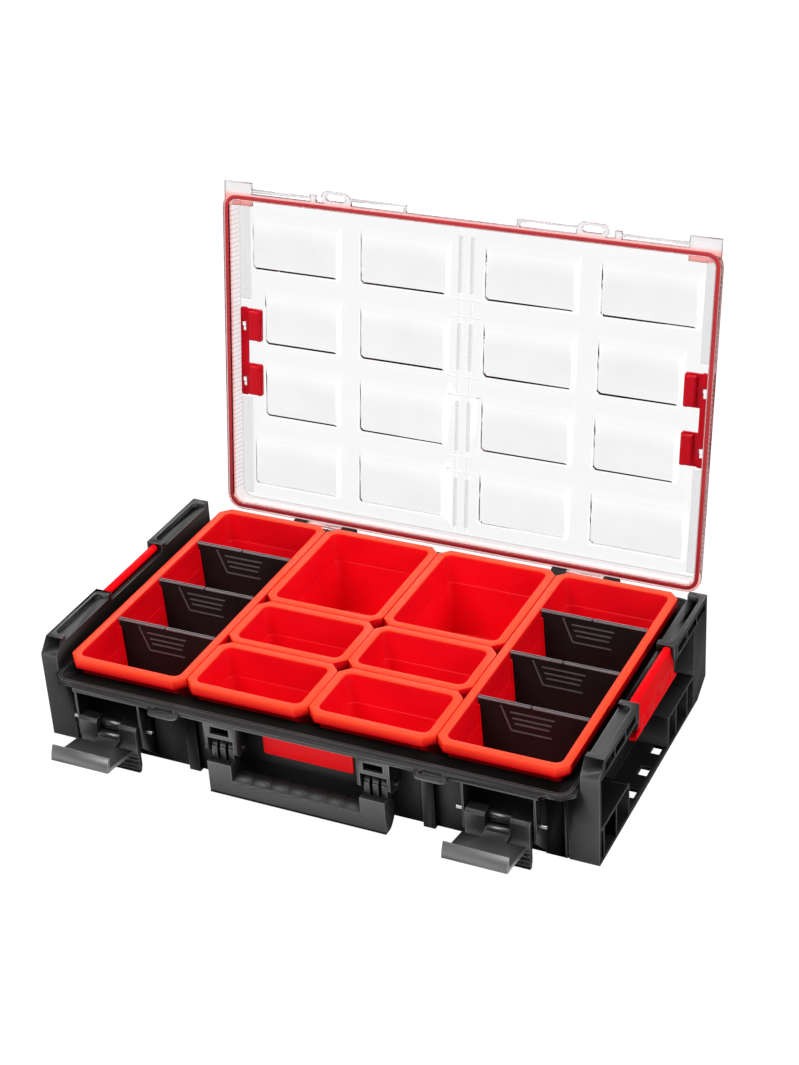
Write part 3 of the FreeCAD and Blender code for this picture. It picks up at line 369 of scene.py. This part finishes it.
def moulded(name, dark, light, roughness, grain, specular=0.5, metallic=0.0):
    # A plain moulded or drawn surface with slow changes of tone.
    material, tree, bsdf = shader(name)
    coords = object_place(tree)
    slow = noise(tree, *SLOW_NOISE, coords)
    tree.links.new(two_tone(tree, slow, dark, light), bsdf.inputs["Base Color"])
    finish_surface(tree, bsdf, coords, slow, roughness, grain)
    bsdf.inputs["Specular IOR Level"].default_value = specular
    bsdf.inputs["Metallic"].default_value = metallic
    return material


def edges_for_painted_light(tree, reach):
    # High where the surface turns within the reach, and low on flat ground: this is where painted light goes
    # along edges.
    bevel = tree.nodes.new("ShaderNodeBevel")
    bevel.samples = BEVEL_SAMPLES
    bevel.inputs["Radius"].default_value = reach * MM
    geometry = tree.nodes.new("ShaderNodeNewGeometry")
    turn = tree.nodes.new("ShaderNodeVectorMath")
    turn.operation = "DOT_PRODUCT"
    tree.links.new(bevel.outputs["Normal"], turn.inputs[0])
    tree.links.new(geometry.outputs["Normal"], turn.inputs[1])
    return scaled(tree, turn.outputs["Value"], PAINTED_EDGE_TURN, UNIT)


def black_plastic(name, gloss, level_painted_light):
    # Textured black plastic with painted light: a painted highlight on open edges, painted shade in recesses
    # that weakens the reflection, and painted shade on level faces that changes with height, turning into a
    # painted sheen where the setting passes one.
    material, tree, bsdf = shader(name)
    coords = object_place(tree)
    slow = noise(tree, *SLOW_NOISE, coords)
    hollow = tree.nodes.new("ShaderNodeAmbientOcclusion")
    hollow.samples = HOLLOW_SAMPLES
    hollow.inputs["Distance"].default_value = HOLLOW_REACH * MM
    openness = hollow.outputs["AO"]
    # Painted highlight: open edges are lightened to grey.
    painted_highlight = product(tree, edges_for_painted_light(tree, PAINTED_EDGE_REACH), scaled(tree, openness, HIGHLIGHT_OPENNESS, UNIT))
    ground = two_tone(tree, slow, BLACK, BLACK_LIGHT)
    tree.links.new(blended(tree, painted_highlight, ground, EDGE_HIGHLIGHT_GREY), bsdf.inputs["Base Color"])
    finish_surface(tree, bsdf, coords, slow, BLACK_ROUGHNESS, BLACK_GRAIN)
    # Painted shade on level faces that changes with height; where the setting passes one, it becomes a
    # painted sheen.
    level_shade = placed(tree, parts_of(tree, coords)["Z"], LEVEL_SHADE_HEIGHTS, (1.0 - level_painted_light, HIGH_LEVEL_SHADE))
    level_shade = product(tree, level_shade, scaled(tree, facing(tree)["Z"], LEVEL_FACING, UNIT))
    # Painted shade: the reflection fades in recesses and between parts.
    shine = scaled(tree, openness, SHINE_OPENNESS, (HOLLOW_SHINE, gloss))
    shine = product(tree, shine, calculated(tree, "SUBTRACT", 1.0, level_shade))
    tree.links.new(shine, bsdf.inputs["Specular IOR Level"])
    return material


def bin_red():
    # Red plastic of the bins, with a painted orange highlight on top of the rims that fades to red down their
    # fronts.
    material, tree, bsdf = shader("red_plastic")
    coords = object_place(tree)
    slow = noise(tree, *SLOW_NOISE, coords)
    place = parts_of(tree, coords)
    face = facing(tree)
    # Painted highlight: rim tops and the upper fronts turn orange.
    rim_highlight = placed(tree, place["Z"], RIM_HEIGHTS, UNIT)
    rim_highlight = product(tree, rim_highlight, scaled(tree, face["Z"], RIM_FACING, UNIT))
    front = placed(tree, place["Y"], SKIRT_DEPTHS, UNIT)
    front = product(tree, front, scaled(tree, face["Y"], SKIRT_FACING, UNIT))
    front = product(tree, front, placed(tree, place["Z"], SKIRT_HEIGHTS, SKIRT_BLEND))
    rim_highlight = calculated(tree, "MAXIMUM", rim_highlight, front)
    ground = two_tone(tree, slow, RED_DEEP, RED)
    tree.links.new(blended(tree, rim_highlight, ground, RIM_HIGHLIGHT_ORANGE), bsdf.inputs["Base Color"])
    finish_surface(tree, bsdf, coords, slow, RED_ROUGHNESS, RED_GRAIN)
    bsdf.inputs["Specular IOR Level"].default_value = RED_SPECULAR
    return material


def closed_place(tree, coords):
    # The place of a point with the lid closed.
    turn = math.radians(LID_OPEN)
    pin = Vector((0.0, HINGE_Y, HINGE_Z)) * MM
    closed = tree.nodes.new("ShaderNodeMapping")
    closed.inputs["Rotation"].default_value = (turn, 0.0, 0.0)
    closed.inputs["Location"].default_value = pin - Matrix.Rotation(turn, 3, "X") @ pin
    tree.links.new(coords, closed.inputs["Vector"])
    return parts_of(tree, closed.outputs["Vector"])


def seal_reflection_mask(tree, place):
    # High beside the red seal, where the clear frame gets a painted pink reflection of it.
    across = calculated(tree, "ABSOLUTE", place["X"])
    across = calculated(tree, "SUBTRACT", across, SEAL_X * MM)
    along = calculated(tree, "SUBTRACT", place["Y"], SEAL_MID * MM)
    along = calculated(tree, "ABSOLUTE", along)
    along = calculated(tree, "SUBTRACT", along, SEAL_HALF * MM)
    away = calculated(tree, "MAXIMUM", across, along)
    flange = placed(tree, place["Z"], GLOW_HEIGHTS, GLOW_BY_HEIGHT)
    return product(tree, flange, placed(tree, away, GLOW_REACH, GLOW_BY_REACH))


def slopes(tree):
    # High on the sloping faces of the lid panel, and low on its level ones.
    coords = tree.nodes.new("ShaderNodeTexCoord")
    turn = tree.nodes.new("ShaderNodeVectorMath")
    turn.operation = "DOT_PRODUCT"
    level = Matrix.Rotation(math.radians(-LID_OPEN), 3, "X") @ Vector((0.0, 0.0, 1.0))
    turn.inputs[1].default_value = level
    tree.links.new(coords.outputs["Normal"], turn.inputs[0])
    return scaled(tree, calculated(tree, "ABSOLUTE", turn.outputs["Value"]), SLOPE_TURN, UNIT)


def clear_plastic(name, ior, edge, reach, panel):
    # Clear plastic with painted grey shade along its edges. The panel is paler round its pads, and the frame
    # has a painted pink reflection of the seal beside it.
    material, tree, bsdf = shader(name)
    coords = object_place(tree)
    slow = noise(tree, *CLEAR_NOISE, coords)
    colour = two_tone(tree, slow, CLEAR, CLEAR_LIGHT)
    place = closed_place(tree, coords)
    if panel:
        colour = blended(tree, placed(tree, place["Z"], GROUND_HEIGHTS, UNIT), colour, CLEAR_GROUND)
        colour = blended(tree, slopes(tree), colour, CLEAR_SLOPE)
    else:
        # Painted reflection: the frame beside the seal turns pink.
        colour = blended(tree, seal_reflection_mask(tree, place), colour, SEAL_REFLECTION_PINK)
    # Painted shade: the edges are tinted grey.
    colour = blended(tree, edges_for_painted_light(tree, reach), colour, edge)
    tree.links.new(colour, bsdf.inputs["Base Color"])
    bsdf.inputs["IOR"].default_value = ior
    bsdf.inputs["Transmission Weight"].default_value = 1.0
    tree.links.new(scaled(tree, slow, NOISE_MIDDLE, CLEAR_ROUGHNESS), bsdf.inputs["Roughness"])
    tree.links.new(relief(tree, slow, CLEAR_RIPPLE, CLEAR_RIPPLE_STRENGTH), bsdf.inputs["Normal"])
    return material


black = black_plastic("black_plastic", gloss=0.92, level_painted_light=0.27)
handle_black = black_plastic("handle_black", gloss=0.92, level_painted_light=0.55)
# A copy of the black plastic with a much stronger reflection: painted sheen on the latch hooks.
hook_black_painted_sheen = black_plastic("hook_black_painted_sheen", gloss=1.7, level_painted_light=1.5)
divider_black = black_plastic("divider_black", gloss=0.30, level_painted_light=0.55)
red = bin_red()
lock_red = moulded("lock_red", LOCK_RED_DEEP, LOCK_RED, (0.30, 0.40), SMOOTH_GRAIN, specular=0.08)
label_red = moulded("label_red", CLIP_RED_DEEP, CLIP_RED, (0.34, 0.44), SMOOTH_GRAIN, specular=0.1)
clip_red = moulded("clip_red", CLIP_RED_DEEP, CLIP_RED, (0.30, 0.38), SMOOTH_GRAIN, specular=0.02)
mark_grey = moulded("divider_marks", MARK_GREY, MARK_GREY_LIGHT, (0.40, 0.52), MARK_GRAIN)
# A lighter grey for the thick top edge of the dividers.
edge_grey = moulded("divider_edge_grey", EDGE_GREY, EDGE_GREY_LIGHT, (0.40, 0.52), MARK_GRAIN)
roller_black = moulded("roller_black", BLACK, BLACK_LIGHT, (0.26, 0.34), SLEEVE_GRAIN, specular=0.9)
seal = moulded("seal_rubber", SEAL_RED_DEEP, SEAL_RED, (0.5, 0.6), SEAL_GRAIN)
steel = moulded("steel", STEEL, STEEL_LIGHT, (0.26, 0.38), STEEL_GRAIN, metallic=1.0)
clear = clear_plastic("clear_plastic", ior=1.14, edge=PANEL_EDGE, reach=PAINTED_EDGE_REACH, panel=True)
clear_frame = clear_plastic("clear_frame", ior=1.28, edge=CLEAR_EDGE, reach=FRAME_PAINTED_EDGE_REACH, panel=False)

# The first start that fits the name of a node gives its look.
looks = (
    ("latch_pin", steel), ("handle_pin", steel), ("lid_hinge_pin", steel), ("lid_frame", clear_frame),
    ("lid_panel", clear), ("lid_gasket", seal), ("lid_lock", lock_red), ("latch_hook", hook_black_painted_sheen),
    ("latch_lever", handle_black), ("handle", handle_black), ("base", black), ("divider", divider_black),
    ("bin", red), ("side_clip", clip_red), ("label", label_red),
)


def look_of(name):
    return next(look for start, look in looks if name.startswith(start))


def weld(obj):
    obj.modifiers.new("weld", "WELD").merge_threshold = WELD * MM


def round_edges(obj, width):
    weld(obj)
    bevel = obj.modifiers.new("round", "BEVEL")
    bevel.width = width * MM
    bevel.segments = ROUND_SEGMENTS
    bevel.limit_method = "ANGLE"
    bevel.angle_limit = math.radians(ROUND_ANGLE)
    bevel.harden_normals = True


def linked(name, data):
    obj = bpy.data.objects.new(name, data)
    bpy.context.scene.collection.objects.link(obj)
    return obj


for name, obj in nodes.items():
    obj.data.materials.clear()
    obj.data.materials.append(look_of(name))
    for polygon in obj.data.polygons:
        polygon.use_smooth = True
    if "_pin_" not in name:
        round_edges(obj, EDGE_ROUND)


class Shell:
    # Closed lofts gathered into one mesh, in millimetres. A look is a place in the list of materials.
    def __init__(self):
        self.points = []
        self.faces = []
        self.looks = []

    def loft(self, rings, look=0):
        # Rings of equal count, joined in turn and closed at both ends.
        n = len(rings[0])
        first = len(self.points)
        last = first + (len(rings) - 1) * n
        self.points += [Vector(p) * MM for ring in rings for p in ring]
        self.faces.append(tuple(first + i for i in reversed(range(n))))
        self.faces.append(tuple(last + i for i in range(n)))
        for start in range(first, last, n):
            for i in range(n):
                j = (i + 1) % n
                self.faces.append((start + i, start + j, start + n + j, start + n + i))
        self.looks += [look] * (2 + n * (len(rings) - 1))

    def plate(self, outline, y0, y1, look=0):
        # An outline in X and Z, pulled along Y.
        self.loft([[(x, y, z) for x, z in outline] for y in (y0, y1)], look)

    def block(self, x0, x1, y0, y1, z0, z1):
        self.plate([(x0, z0), (x1, z0), (x1, z1), (x0, z1)], y0, y1)

    def mesh(self, name):
        mesh = bpy.data.meshes.new(name)
        mesh.from_pydata(self.points, [], self.faces)
        made = bmesh.new()
        made.from_mesh(mesh)
        bmesh.ops.recalc_face_normals(made, faces=made.faces)
        made.to_mesh(mesh)
        made.free()
        for polygon, look in zip(mesh.polygons, self.looks):
            polygon.material_index = look
        return mesh

    def done(self, name, materials, body):
        mesh = self.mesh(name)
        for material in materials:
            mesh.materials.append(material)
        obj = linked(name, mesh)
        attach(obj, body)
        return obj


def bar(x0, z0, x1, z1, width):
    # A straight line of some width in X and Z.
    along = Vector((x1 - x0, z1 - z0)).normalized() * (width / 2)
    nx, nz = -along[1], along[0]
    return [(x0 + nx, z0 + nz), (x0 - nx, z0 - nz), (x1 - nx, z1 - nz), (x1 + nx, z1 + nz)]


def make_divider(side, number):
    # A plate with a thick notched top edge and raised marks on its front.
    x0 = SIDE_BIN_IN if side == "right" else -SIDE_BIN_IN - SIDE_BIN_W
    x1 = x0 + SIDE_BIN_W
    y = DIVIDER_MID + (number - 2) * DIVIDER_PITCH
    face = y - DIVIDER_T / 2
    left, right = x0 + DIVIDER_TOP_IN, x1 - DIVIDER_TOP_IN
    top = DIVIDER_TOP
    shell = Shell()
    outline = [
        (x0 + DIVIDER_FOOT_IN, DIVIDER_FOOT), (x1 - DIVIDER_FOOT_IN, DIVIDER_FOOT), (right, top), (left, top),
    ]
    shell.plate(outline, face, y + DIVIDER_T / 2)
    width = x1 - x0 - 2 * DIVIDER_TOP_IN
    notch = left + NOTCH_AT * width
    low = top - DIVIDER_EDGE_H
    for start, end in ((left, notch - NOTCH_HALF), (notch + NOTCH_HALF, right)):
        edge = [(start, low), (end, low), (end, top), (start, top)]
        shell.plate(edge, y - DIVIDER_EDGE_HALF, y + DIVIDER_EDGE_HALF, 1)
    for start, drop, end, drop_end in DIVIDER_MARKS:
        mark = bar(left + start * width, top - drop, left + end * width, top - drop_end, MARK_W)
        shell.plate(mark, face - MARK_OUT, face + MARK_SUNK, 2)
    name = "divider_%s_%d" % (side, number)
    piece = shell.done("plate_" + name, [divider_black, edge_grey, mark_grey], name)
    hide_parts(name)


def make_base_shell():
    # The tray with the side blocks open to the middle and pockets in the outer faces of the rails.
    shell = Shell()
    for _, sign in SIDES:
        far = sign * RAIL_FAR
        for y0, y1 in BLOCK_PLATES:
            shell.block(sign * BLOCK_DEEP, far, y0, y1, WINDOW_LOW, SHELF_LOW)
            shell.block(sign * BLOCK_HIGH, far, y0, y1, SHELF_LOW - CUT_OVERLAP, WINDOW_TOP)
        for y0, y1 in RAIL_POCKETS:
            shell.block(sign * RAIL_POCKET_X, far, y0, y1, RAIL_POCKET_LOW, RAIL_POCKET_TOP)
    cutter = linked("cutter", shell.mesh("cutter"))
    tray = nodes["base_tray"]
    body = linked("uncut", tray.data.copy())
    body.data.transform(tray.matrix_world)
    weld(body)
    cut = body.modifiers.new("cut", "BOOLEAN")
    cut.operation = "DIFFERENCE"
    cut.solver = "EXACT"
    cut.use_self = True
    cut.object = cutter
    graph = bpy.context.evaluated_depsgraph_get()
    mesh = bpy.data.meshes.new_from_object(body.evaluated_get(graph))
    for obj in (cutter, body):
        bpy.data.objects.remove(obj)
    piece = linked("base_shell", mesh)
    mesh.materials.clear()
    mesh.materials.append(black)
    for polygon in mesh.polygons:
        polygon.use_smooth = True
        polygon.material_index = 0
    round_edges(piece, EDGE_ROUND)
    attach(piece, "base")
    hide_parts("base_tray")


def make_gussets():
    # Curved plates under the rail at both ends of the clip bay.
    shell = Shell()
    for _, sign in SIDES:
        outline = [(sign * x, z) for x, z in GUSSET]
        for y in (BAY_Y0 - GUSSET_T, BAY_Y1):
            shell.plate(outline, y, y + GUSSET_T)
    piece = shell.done("bay_gussets", [black], "base")
    round_edges(piece, SMALL_ROUND)


def make_clip_beads():
    # The lower edge of a clip is longer than its plate.
    for side, sign in SIDES:
        shell = Shell()
        outline = [(sign * x, z) for x, z in CLIP_BEAD]
        shell.plate(outline, BAY_Y0 - CLIP_BEAD_OVER, BAY_Y1 + CLIP_BEAD_OVER)
        piece = shell.done("clip_bead_" + side, [clip_red], "side_clip_" + side)
        round_edges(piece, SMALL_ROUND)


def opened(point):
    # A point of the closed lid, turned to the open place.
    x, y, z = point
    c, s = math.cos(math.radians(-LID_OPEN)), math.sin(math.radians(-LID_OPEN))
    y, z = y - HINGE_Y, z - HINGE_Z
    return (x, HINGE_Y + y * c - z * s, HINGE_Z + y * s + z * c)


def make_lid_ribs():
    # Thin ribs outside on the two side walls of the lid.
    shell = Shell()
    z0, z1 = LID_FLANGE_TOP, LID_FLANGE_TOP + LID_RIB_H
    foot, top = LID_WALL_X, LID_WALL_X - LID_LEAN
    outline = ((foot, z0), (foot + LID_RIB_OUT, z0), (top + LID_RIB_OUT, z1), (top, z1))
    y = LID_RIB_Y0
    while y < LID_RIB_Y1:
        for _, sign in SIDES:
            shell.loft([[opened((sign * x, v, z)) for x, z in outline] for v in (y, y + LID_RIB_T)])
        y += LID_RIB_PITCH
    piece = shell.done("lid_wall_ribs", [clear], "lid")


def make_ledges():
    # Raised strips where the lid panel meets its two side walls, left open at the locks.
    shell = Shell()
    outline = (
        (LEDGE_X1, LEDGE_TOP), (LEDGE_X0, LEDGE_TOP), (LEDGE_X0, LEDGE_LOW + LEDGE_BEVEL),
        (LEDGE_X0 + LEDGE_BEVEL, LEDGE_LOW), (LEDGE_X1, LEDGE_LOW),
    )
    for _, sign in SIDES:
        for span in LEDGE_SPANS:
            shell.loft([[opened((sign * x, y, z)) for x, z in outline] for y in span])
    piece = shell.done("lid_ledges", [clear], "lid")


def turned(name, y, z, profile, material, body):
    # A round piece along X from places and radii, with flat ends.
    angles = [2 * math.pi * i / TURNED_SIDES for i in range(TURNED_SIDES)]
    shell = Shell()
    shell.loft([[(x, y + r * math.cos(a), z + r * math.sin(a)) for a in angles] for x, r in profile])
    piece = shell.done(name, [material], body)
    for polygon in piece.data.polygons:
        polygon.use_smooth = len(polygon.vertices) == 4


def make_rollers():
    # Smooth sleeves on the lever pin and on the hook axle, between the lever blocks.
    kinds = (
        ("lever", LEVER_PIN_Y, LEVER_PIN_Z, LEVER_SLEEVE_R), ("hook", HOOK_PIN_Y, HOOK_PIN_Z, HOOK_SLEEVE_R),
    )
    for side, sign in SIDES:
        mid = sign * LATCH_X
        for kind, y, z, r in kinds:
            end = r - SLEEVE_CHAMFER
            profile = (
                (mid - SLEEVE_HALF, end), (mid - SLEEVE_STRAIGHT, r), (mid + SLEEVE_STRAIGHT, r),
                (mid + SLEEVE_HALF, end),
            )
            name, body = "%s_sleeve_%s" % (kind, side), "latch_%s_%s" % (kind, side)
            turned(name, y, z, profile, roller_black, body)


def make_lock_tabs():
    # Thumb blocks that stand out from the tabs of the lid locks.
    for side, sign in SIDES:
        shell = Shell()
        for mid in (LOCK_MID - LOCK_TAB_SPREAD, LOCK_MID + LOCK_TAB_SPREAD):
            rings = []
            for grow, z in LOCK_TAB_PROFILE:
                x0, x1 = LOCK_TAB_X - grow, LOCK_TAB_X + LOCK_TAB_W + grow
                y0, y1 = mid - LOCK_TAB_HALF - grow, mid + LOCK_TAB_HALF + grow
                corners = ((x0, y0), (x1, y0), (x1, y1), (x0, y1))
                rings.append([opened((sign * x, y, z)) for x, y in corners])
            shell.loft(rings)
        piece = shell.done("lock_tabs_" + side, [lock_red], "lid_lock_" + side)


def capsule(x, y0, y1, half):
    # A long outline in X and Y with cut corners.
    c = half * SPINE_CORNER
    return [(x - half, y0 + c), (x - half + c, y0), (x + half - c, y0), (x + half, y0 + c),
            (x + half, y1 - c), (x + half - c, y1), (x - half + c, y1), (x - half, y1 - c)]


def make_spine_bars():
    # Long raised bars on both sides of the middle of the lid panel.
    shell = Shell()
    for start, end in SPINE_SPANS:
        for x in (-SPINE_X, SPINE_X):
            outline = capsule(x, SEAL_REAR - end, SEAL_REAR - start, SPINE_HALF)
            shell.loft([[opened((u, v, z)) for u, v in outline] for z in (SPINE_LOW, SPINE_LOW + SPINE_H)])
    piece = shell.done("lid_spine_bars", [clear], "lid")


def soft_rectangle(x0, x1, z0, z1, r, n):
    # An outline in X and Z with round corners of n steps.
    points = []
    corners = ((x1 - r, z0 + r, 270), (x1 - r, z1 - r, 0), (x0 + r, z1 - r, 90), (x0 + r, z0 + r, 180))
    for cx, cz, start in corners:
        for i in range(n + 1):
            a = math.radians(start + 90.0 * i / n)
            points.append((cx + r * math.cos(a), cz + r * math.sin(a)))
    return points


def make_label():
    # Bare plate with round corners, a raised border and a lower field.
    rings = []
    for inset, y in LABEL_PROFILE:
        half = LABEL_HALF - inset
        low, high = LABEL_Z0 + inset, LABEL_Z1 - inset
        outline = soft_rectangle(-half, half, low, high, LABEL_R - inset / 2, LABEL_ARC_STEPS)
        rings.append([(x, y, z) for x, z in outline])
    shell = Shell()
    shell.loft(rings)
    piece = shell.done("label_field", [label_red], "base")
    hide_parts("label_plate")


def stage_piece(name, made, material):
    # A piece that the camera sees and that sends no light to the box.
    mesh = bpy.data.meshes.new(name)
    made.to_mesh(mesh)
    made.free()
    mesh.materials.append(material)
    obj = linked(name, mesh)
    obj.visible_diffuse = False
    obj.visible_glossy = False
    return obj


def make_stage():
    # White floor and dome.
    material, _, bsdf = shader("studio_white")
    bsdf.inputs["Base Color"].default_value = (*FLOOR, 1.0)
    bsdf.inputs["Roughness"].default_value = FLOOR_ROUGHNESS
    bsdf.inputs["Emission Color"].default_value = (*WHITE, 1.0)
    bsdf.inputs["Emission Strength"].default_value = 1.0
    made = bmesh.new()
    bmesh.ops.create_grid(made, x_segments=1, y_segments=1, size=FLOOR_HALF)
    stage_piece("floor", made, material)
    made = bmesh.new()
    bmesh.ops.create_uvsphere(made, u_segments=DOME_SEGMENTS, v_segments=DOME_RINGS, radius=DOME_R)
    dome = stage_piece("dome", made, material)
    dome.visible_shadow = False


def area_light(name, place, target, size, power):
    data = bpy.data.lights.new(name, "AREA")
    data.shape = "RECTANGLE"
    data.size, data.size_y = size
    data.energy = power
    light = linked(name, data)
    light.location = place
    aim = Vector(target) - Vector(place)
    light.rotation_mode = "QUATERNION"
    light.rotation_quaternion = aim.to_track_quat("-Z", "Y")
    return light


def make_lights():
    # Soft lights round the box, and a card on the floor that lights its front.
    scene = bpy.context.scene
    world = bpy.data.worlds.new("studio")
    scene.world = world
    world.use_nodes = True
    back = world.node_tree.nodes["Background"]
    back.inputs["Color"].default_value = (*WHITE, 1.0)
    back.inputs["Strength"].default_value = WORLD_STRENGTH
    for name, place, size, power in LIGHTS:
        area_light(name, place, LIGHT_TARGET, size, power)
    card = area_light("front_card", CARD_PLACE, CARD_TARGET, CARD_SIZE, CARD_POWER)
    card.visible_camera = False
    scene.view_settings.view_transform = "Standard"


def make_camera():
    a = math.radians(CAMERA_AZIMUTH)
    e = math.radians(CAMERA_ELEVATION)
    r = math.radians(CAMERA_ROLL)
    right = Vector((math.cos(a), math.sin(a), 0.0))
    up = Vector((-math.sin(a) * math.sin(e), math.cos(a) * math.sin(e), math.cos(e)))
    back = Vector((math.sin(a) * math.cos(e), -math.cos(a) * math.cos(e), math.sin(e)))
    side = right * math.cos(r) - up * math.sin(r)
    top = right * math.sin(r) + up * math.cos(r)
    data = bpy.data.cameras.new("camera")
    data.sensor_width = CAMERA_SENSOR
    data.lens = CAMERA_LENS
    camera = linked("camera", data)
    turn = Matrix((side, top, back)).transposed().to_4x4()
    camera.matrix_world = Matrix.Translation(CAMERA_PLACE) @ turn
    bpy.context.scene.camera = camera


for side, _ in SIDES:
    for number in (1, 2, 3):
        make_divider(side, number)
make_base_shell()
make_gussets()
make_clip_beads()
make_lid_ribs()
make_ledges()
make_rollers()
make_lock_tabs()
make_spine_bars()
make_label()
make_stage()
make_lights()
make_camera()
